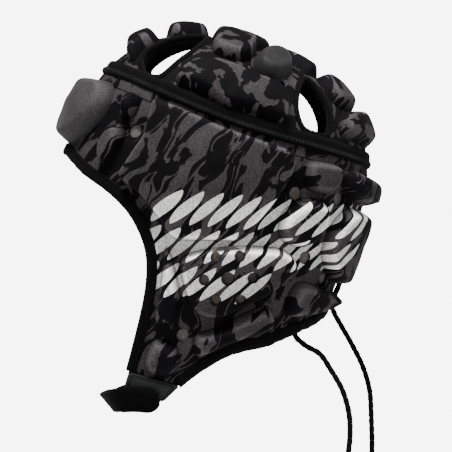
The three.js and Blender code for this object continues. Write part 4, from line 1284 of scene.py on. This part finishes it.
def binding(name, first, last, replaced):
    """A binding over a stretch of the edge columns."""
    chosen = np.arange(first, last + 1) % len(foot)
    run = np.arange(len(chosen))
    pucker = BINDING_PUCKER * np.sin(run * 1.05) * np.sin(run * 0.171) + BINDING_SWAY * np.sin(run * 0.47 + 1)
    rings = []
    for inset, lift in BINDING_SECTION:
        bulge = pucker if lift > 0 else 0 * pucker
        chart = foot[chosen] + inward[chosen] * (inset - 0.6 * bulge[:, None])
        rings.append(worn(on_wall(chart, lift + bulge)))
    rings = np.array(rings).transpose(1, 0, 2)
    band = make_object(name, rings.reshape(-1, 3), capped_rings(len(chosen), len(BINDING_SECTION)))
    band.data.materials.append(binding_finish)
    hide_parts(replaced)
    line = foot[chosen] + inward[chosen] * BINDING_STITCH_INSET
    line = respaced(line, int(length_of(line) / BINDING_STITCH_PITCH))
    below_thread, thread = [worn(on_wall(line, np.full(len(line), lift))) for lift in BINDING_THREAD_LIFTS]
    ends = thread[:-1] + (thread[1:] - thread[:-1]) * BINDING_STITCH_SHARE
    stitch_rows(f"{name}_stitches", zip(thread[:-1], ends, out_of(below_thread, thread)), BINDING_THREAD,
                binding_finish)


binding_finish = black_cloth("black_binding", (0.0022, 0.0022, 0.0026, 1), roughness=0.85, sheen=0.03,
                             pitch=1400.0, contrast=0.6, distance=0.00014)
below = np.flatnonzero(half_foot[:, 1] < -PATCH_TOP * FLAP_DROP)
face_end = below[0]
nape_start = below[-1]
binding("face_edge_binding", -face_end, face_end, "face_binding")
binding("left_nape_edge_binding", nape_start, HALF_COLUMNS - 1, "nape_binding_left")
right_start = len(foot) - (HALF_COLUMNS - 1)
binding("right_nape_edge_binding", right_start, len(foot) - nape_start, "nape_binding_right")


# Strap patches.
# Each flap ends in a plate of dark coated fabric, sewn on with a thread line near its rim. An end of the
# strap lies on each.
PATCH_LIFT = 0.0027
PATCH_CORNERS = [(83.5, 0.925), (108, 0.912), (103.5, 0.978), (84, 0.992)]
PATCH_ROUND = 0.0022
PATCH_SEAM_LIFT = 0.0024
PATCH_SEAM_SHARE = 0.845
PATCH_SECTION = [
    # share of the way out from the middle, and lift
    (1.0, 0.0), (1.005, 0.0016), (1.0, 0.0024), (0.985, PATCH_LIFT), (0.87, PATCH_LIFT),
    (PATCH_SEAM_SHARE, PATCH_SEAM_LIFT), (0.82, PATCH_LIFT), (0.6, 0.0029), (0.3, 0.003), (0.08, 0.003),
]
PATCH_STITCHES = 44
PATCH_STITCH_SHARE = 0.72
PATCH_THREAD = 0.0007
PATCH_COLOUR = (0.0135, 0.0155, 0.0152, 1)


def coated_fabric(name, colour):
    """Dark coated fabric with a fine pebble grain and a worn, slightly glossy face."""
    finish, tree, shader = new_finish(name, roughness=0.5, sheen=0.0, sheen_roughness=0.5, specular=0.2)
    place = object_place(tree)
    grain = add_node(tree, "ShaderNodeTexVoronoi", "Distance", {"Vector": place, "Scale": 1500.0})
    scuff = noise(place, 220.0, 4.0, 0.6)
    feed(shader.inputs["Roughness"], spread(scuff, 0.3, 0.7, 0.42, 0.62))
    feed(shader.inputs["Base Color"], shaded(colour, spread(scuff, 0.3, 0.7, 0.85, 1.2)))
    feed(shader.inputs["Normal"], relief(spread(grain, 0.0, 0.7, 1.0, 0.0), 0.0001, 0.45))
    return finish


patch_finish = coated_fabric("coated_patch", PATCH_COLOUR)
for side_name, side in SIDES:
    flip = np.array([side, 1])
    outline = rounded_outline(wall_chart(PATCH_CORNERS), PATCH_ROUND, 0.001)
    middle = (outline.min(axis=0) + outline.max(axis=0)) / 2
    rings = []
    for share, lift in PATCH_SECTION:
        ring = (middle + (outline - middle) * share) * flip
        rings.append(worn(on_wall(ring, np.full(len(ring), lift))))
    faces = capped_rings(len(rings), len(outline))
    if corner_turn(on_wall, outline * flip) < 0:
        faces = [face[::-1] for face in faces]
    patch = make_object(f"{side_name}_flap_patch", np.vstack(rings), faces)
    patch.data.materials.append(patch_finish)
    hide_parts(f"strap_patch_{side_name}")
    seam_line = (middle + (outline - middle) * PATCH_SEAM_SHARE) * flip
    seam_line = respaced(seam_line, PATCH_STITCHES, closed=True)
    starts = worn(on_wall(seam_line, np.full(PATCH_STITCHES, PATCH_SEAM_LIFT)))
    stops = starts + (np.roll(starts, -1, axis=0) - starts) * PATCH_STITCH_SHARE
    patch_outs = out_of(worn(on_wall(seam_line, np.zeros(PATCH_STITCHES))), starts)
    stitch_rows(f"{side_name}_patch_stitches", zip(starts, stops, patch_outs), PATCH_THREAD, binding_finish)


# Chin strap.
# A foam strap covered with black pile runs from the outside of one patch, under the chin, to the other. It
# is fastened with its ends flat on the patches.
STRAP_WIDTH = 0.0168
STRAP_THICK = 0.0046
STRAP_GAP = 0.00035
STRAP_FORWARD = 0.0145
STRAP_DROP = 0.0125
STRAP_LEAN_ENDS = math.radians(111)
STRAP_LEAN_MIDDLE = math.radians(179)
STRAP_FLARE = 0.18
STRAP_HALVES = [
    # side, its line over the patch, then how far in and how far forward it bends towards the middle
    (1, [(102, 0.978), (92, 0.995), (83, 1.02)], 0.7, 0.0155),
    (-1, [(102, 0.978), (95, 0.992), (90, 1.006)], 0.8, 0.002),
]
STRAP_RINGS = 240
STRAP_SIDES = 36
STRAP_TIP = 0.009
STRAP_TIP_START = 0.0003
STRAP_NARROWING = 0.12
STRAP_THINNING = 0.3
STRAP_SQUARENESS = 0.75
STRAP_UNEVEN = 0.00035
STRAP_UNEVEN_SIZE = 0.006
STRAP_COLOUR = (0.0016, 0.0016, 0.0019, 1)
strap_lift = PATCH_LIFT + STRAP_GAP + STRAP_THICK / 2
strap_low = -FLAP_DROP - STRAP_DROP
strap_halves = []
for side, line, bend, forward in STRAP_HALVES:
    half = [on_wall(wall_chart(point), np.array(strap_lift)) for point in line]
    last = half[-1]
    half.append(np.array([last[0] * bend, -forward, last[2] + (strap_low - last[2]) * bend]))
    strap_halves.append([point * np.array([side, 1, 1]) for point in half])
strap_middle = np.array([0, -STRAP_FORWARD, strap_low])
strap_line = smooth_line(strap_halves[0] + [strap_middle] + strap_halves[1][::-1], STRAP_RINGS)
strap_along = np.gradient(strap_line, axis=0)
strap_along /= np.linalg.norm(strap_along, axis=1)[:, None]
strap_turn = np.linspace(0, 2 * math.pi, STRAP_SIDES, endpoint=False)
strap_width_shares = np.sign(np.cos(strap_turn)) * np.abs(np.cos(strap_turn)) ** STRAP_SQUARENESS
strap_depth_shares = np.sign(np.sin(strap_turn)) * np.abs(np.sin(strap_turn)) ** STRAP_SQUARENESS
strap_length = length_of(strap_line)
strap_rings = []
for i, (centre, along) in enumerate(zip(strap_line, strap_along)):
    share = i / (STRAP_RINGS - 1)
    turn = math.sin(math.pi * share) ** 2
    lean = STRAP_LEAN_ENDS + (STRAP_LEAN_MIDDLE - STRAP_LEAN_ENDS) * turn
    flare = STRAP_FLARE * (1 - turn) * np.sign(0.5 - share)
    across = np.array([flare, math.cos(lean), math.sin(lean)])
    across -= along * (across @ along)
    across /= np.linalg.norm(across)
    out = np.cross(along, across)
    from_tip = min(share, 1 - share) * strap_length
    tip_share = math.sqrt(1 - (1 - min(1, (from_tip + STRAP_TIP_START) / STRAP_TIP)) ** 2)
    width = STRAP_WIDTH / 2 * tip_share * (1 - STRAP_NARROWING * turn)
    depth = STRAP_THICK / 2 * min(1, 0.35 + 0.65 * tip_share) * (1 - STRAP_THINNING * turn)
    strap_rings.append(centre + strap_width_shares[:, None] * across * width
                       + strap_depth_shares[:, None] * out * depth)
strap_rings = np.array(strap_rings)
unevenness = STRAP_UNEVEN * soft_wander(strap_rings, STRAP_UNEVEN_SIZE, seed=77)
strap_rings += unevenness[..., None] * form_normal(strap_rings)
strap_finish = black_cloth("black_pile", STRAP_COLOUR, roughness=0.95, sheen=0.05,
                           pitch=2600.0, contrast=0.9, distance=0.0003)
chin_strap = make_object("padded_chin_strap", worn(strap_rings.reshape(-1, 3)),
                         capped_rings(STRAP_RINGS, STRAP_SIDES))
chin_strap.data.materials.append(strap_finish)
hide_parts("chin_strap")


# Rear lacing.
# The lace zigzags down over the slot at the nape and draws the two sides together. It is of the same braid
# as the two free ends.
LACING_TOP = 0.19
LACING_BOTTOM = 0.5
LACING_REACH = 0.0065
LACING_CROSSINGS = 5
LACING_GAP = 0.0003
LACING_POINTS = 90
lacing_knots = []
for i in range(LACING_CROSSINGS + 1):
    drop = LACING_TOP + (LACING_BOTTOM - LACING_TOP) * i / LACING_CROSSINGS
    knot = on_wall(wall_chart((180, drop)), np.array(LACING_GAP + LACE_DIAMETER / 2))
    knot[0] = LACING_REACH if i % 2 == 0 else -LACING_REACH
    lacing_knots.append(worn(knot))
lacing = braided_lace("nape_lacing", smooth_line(lacing_knots, LACING_POINTS))
lacing.data.materials.append(lace_finish)
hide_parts("rear_lacing")
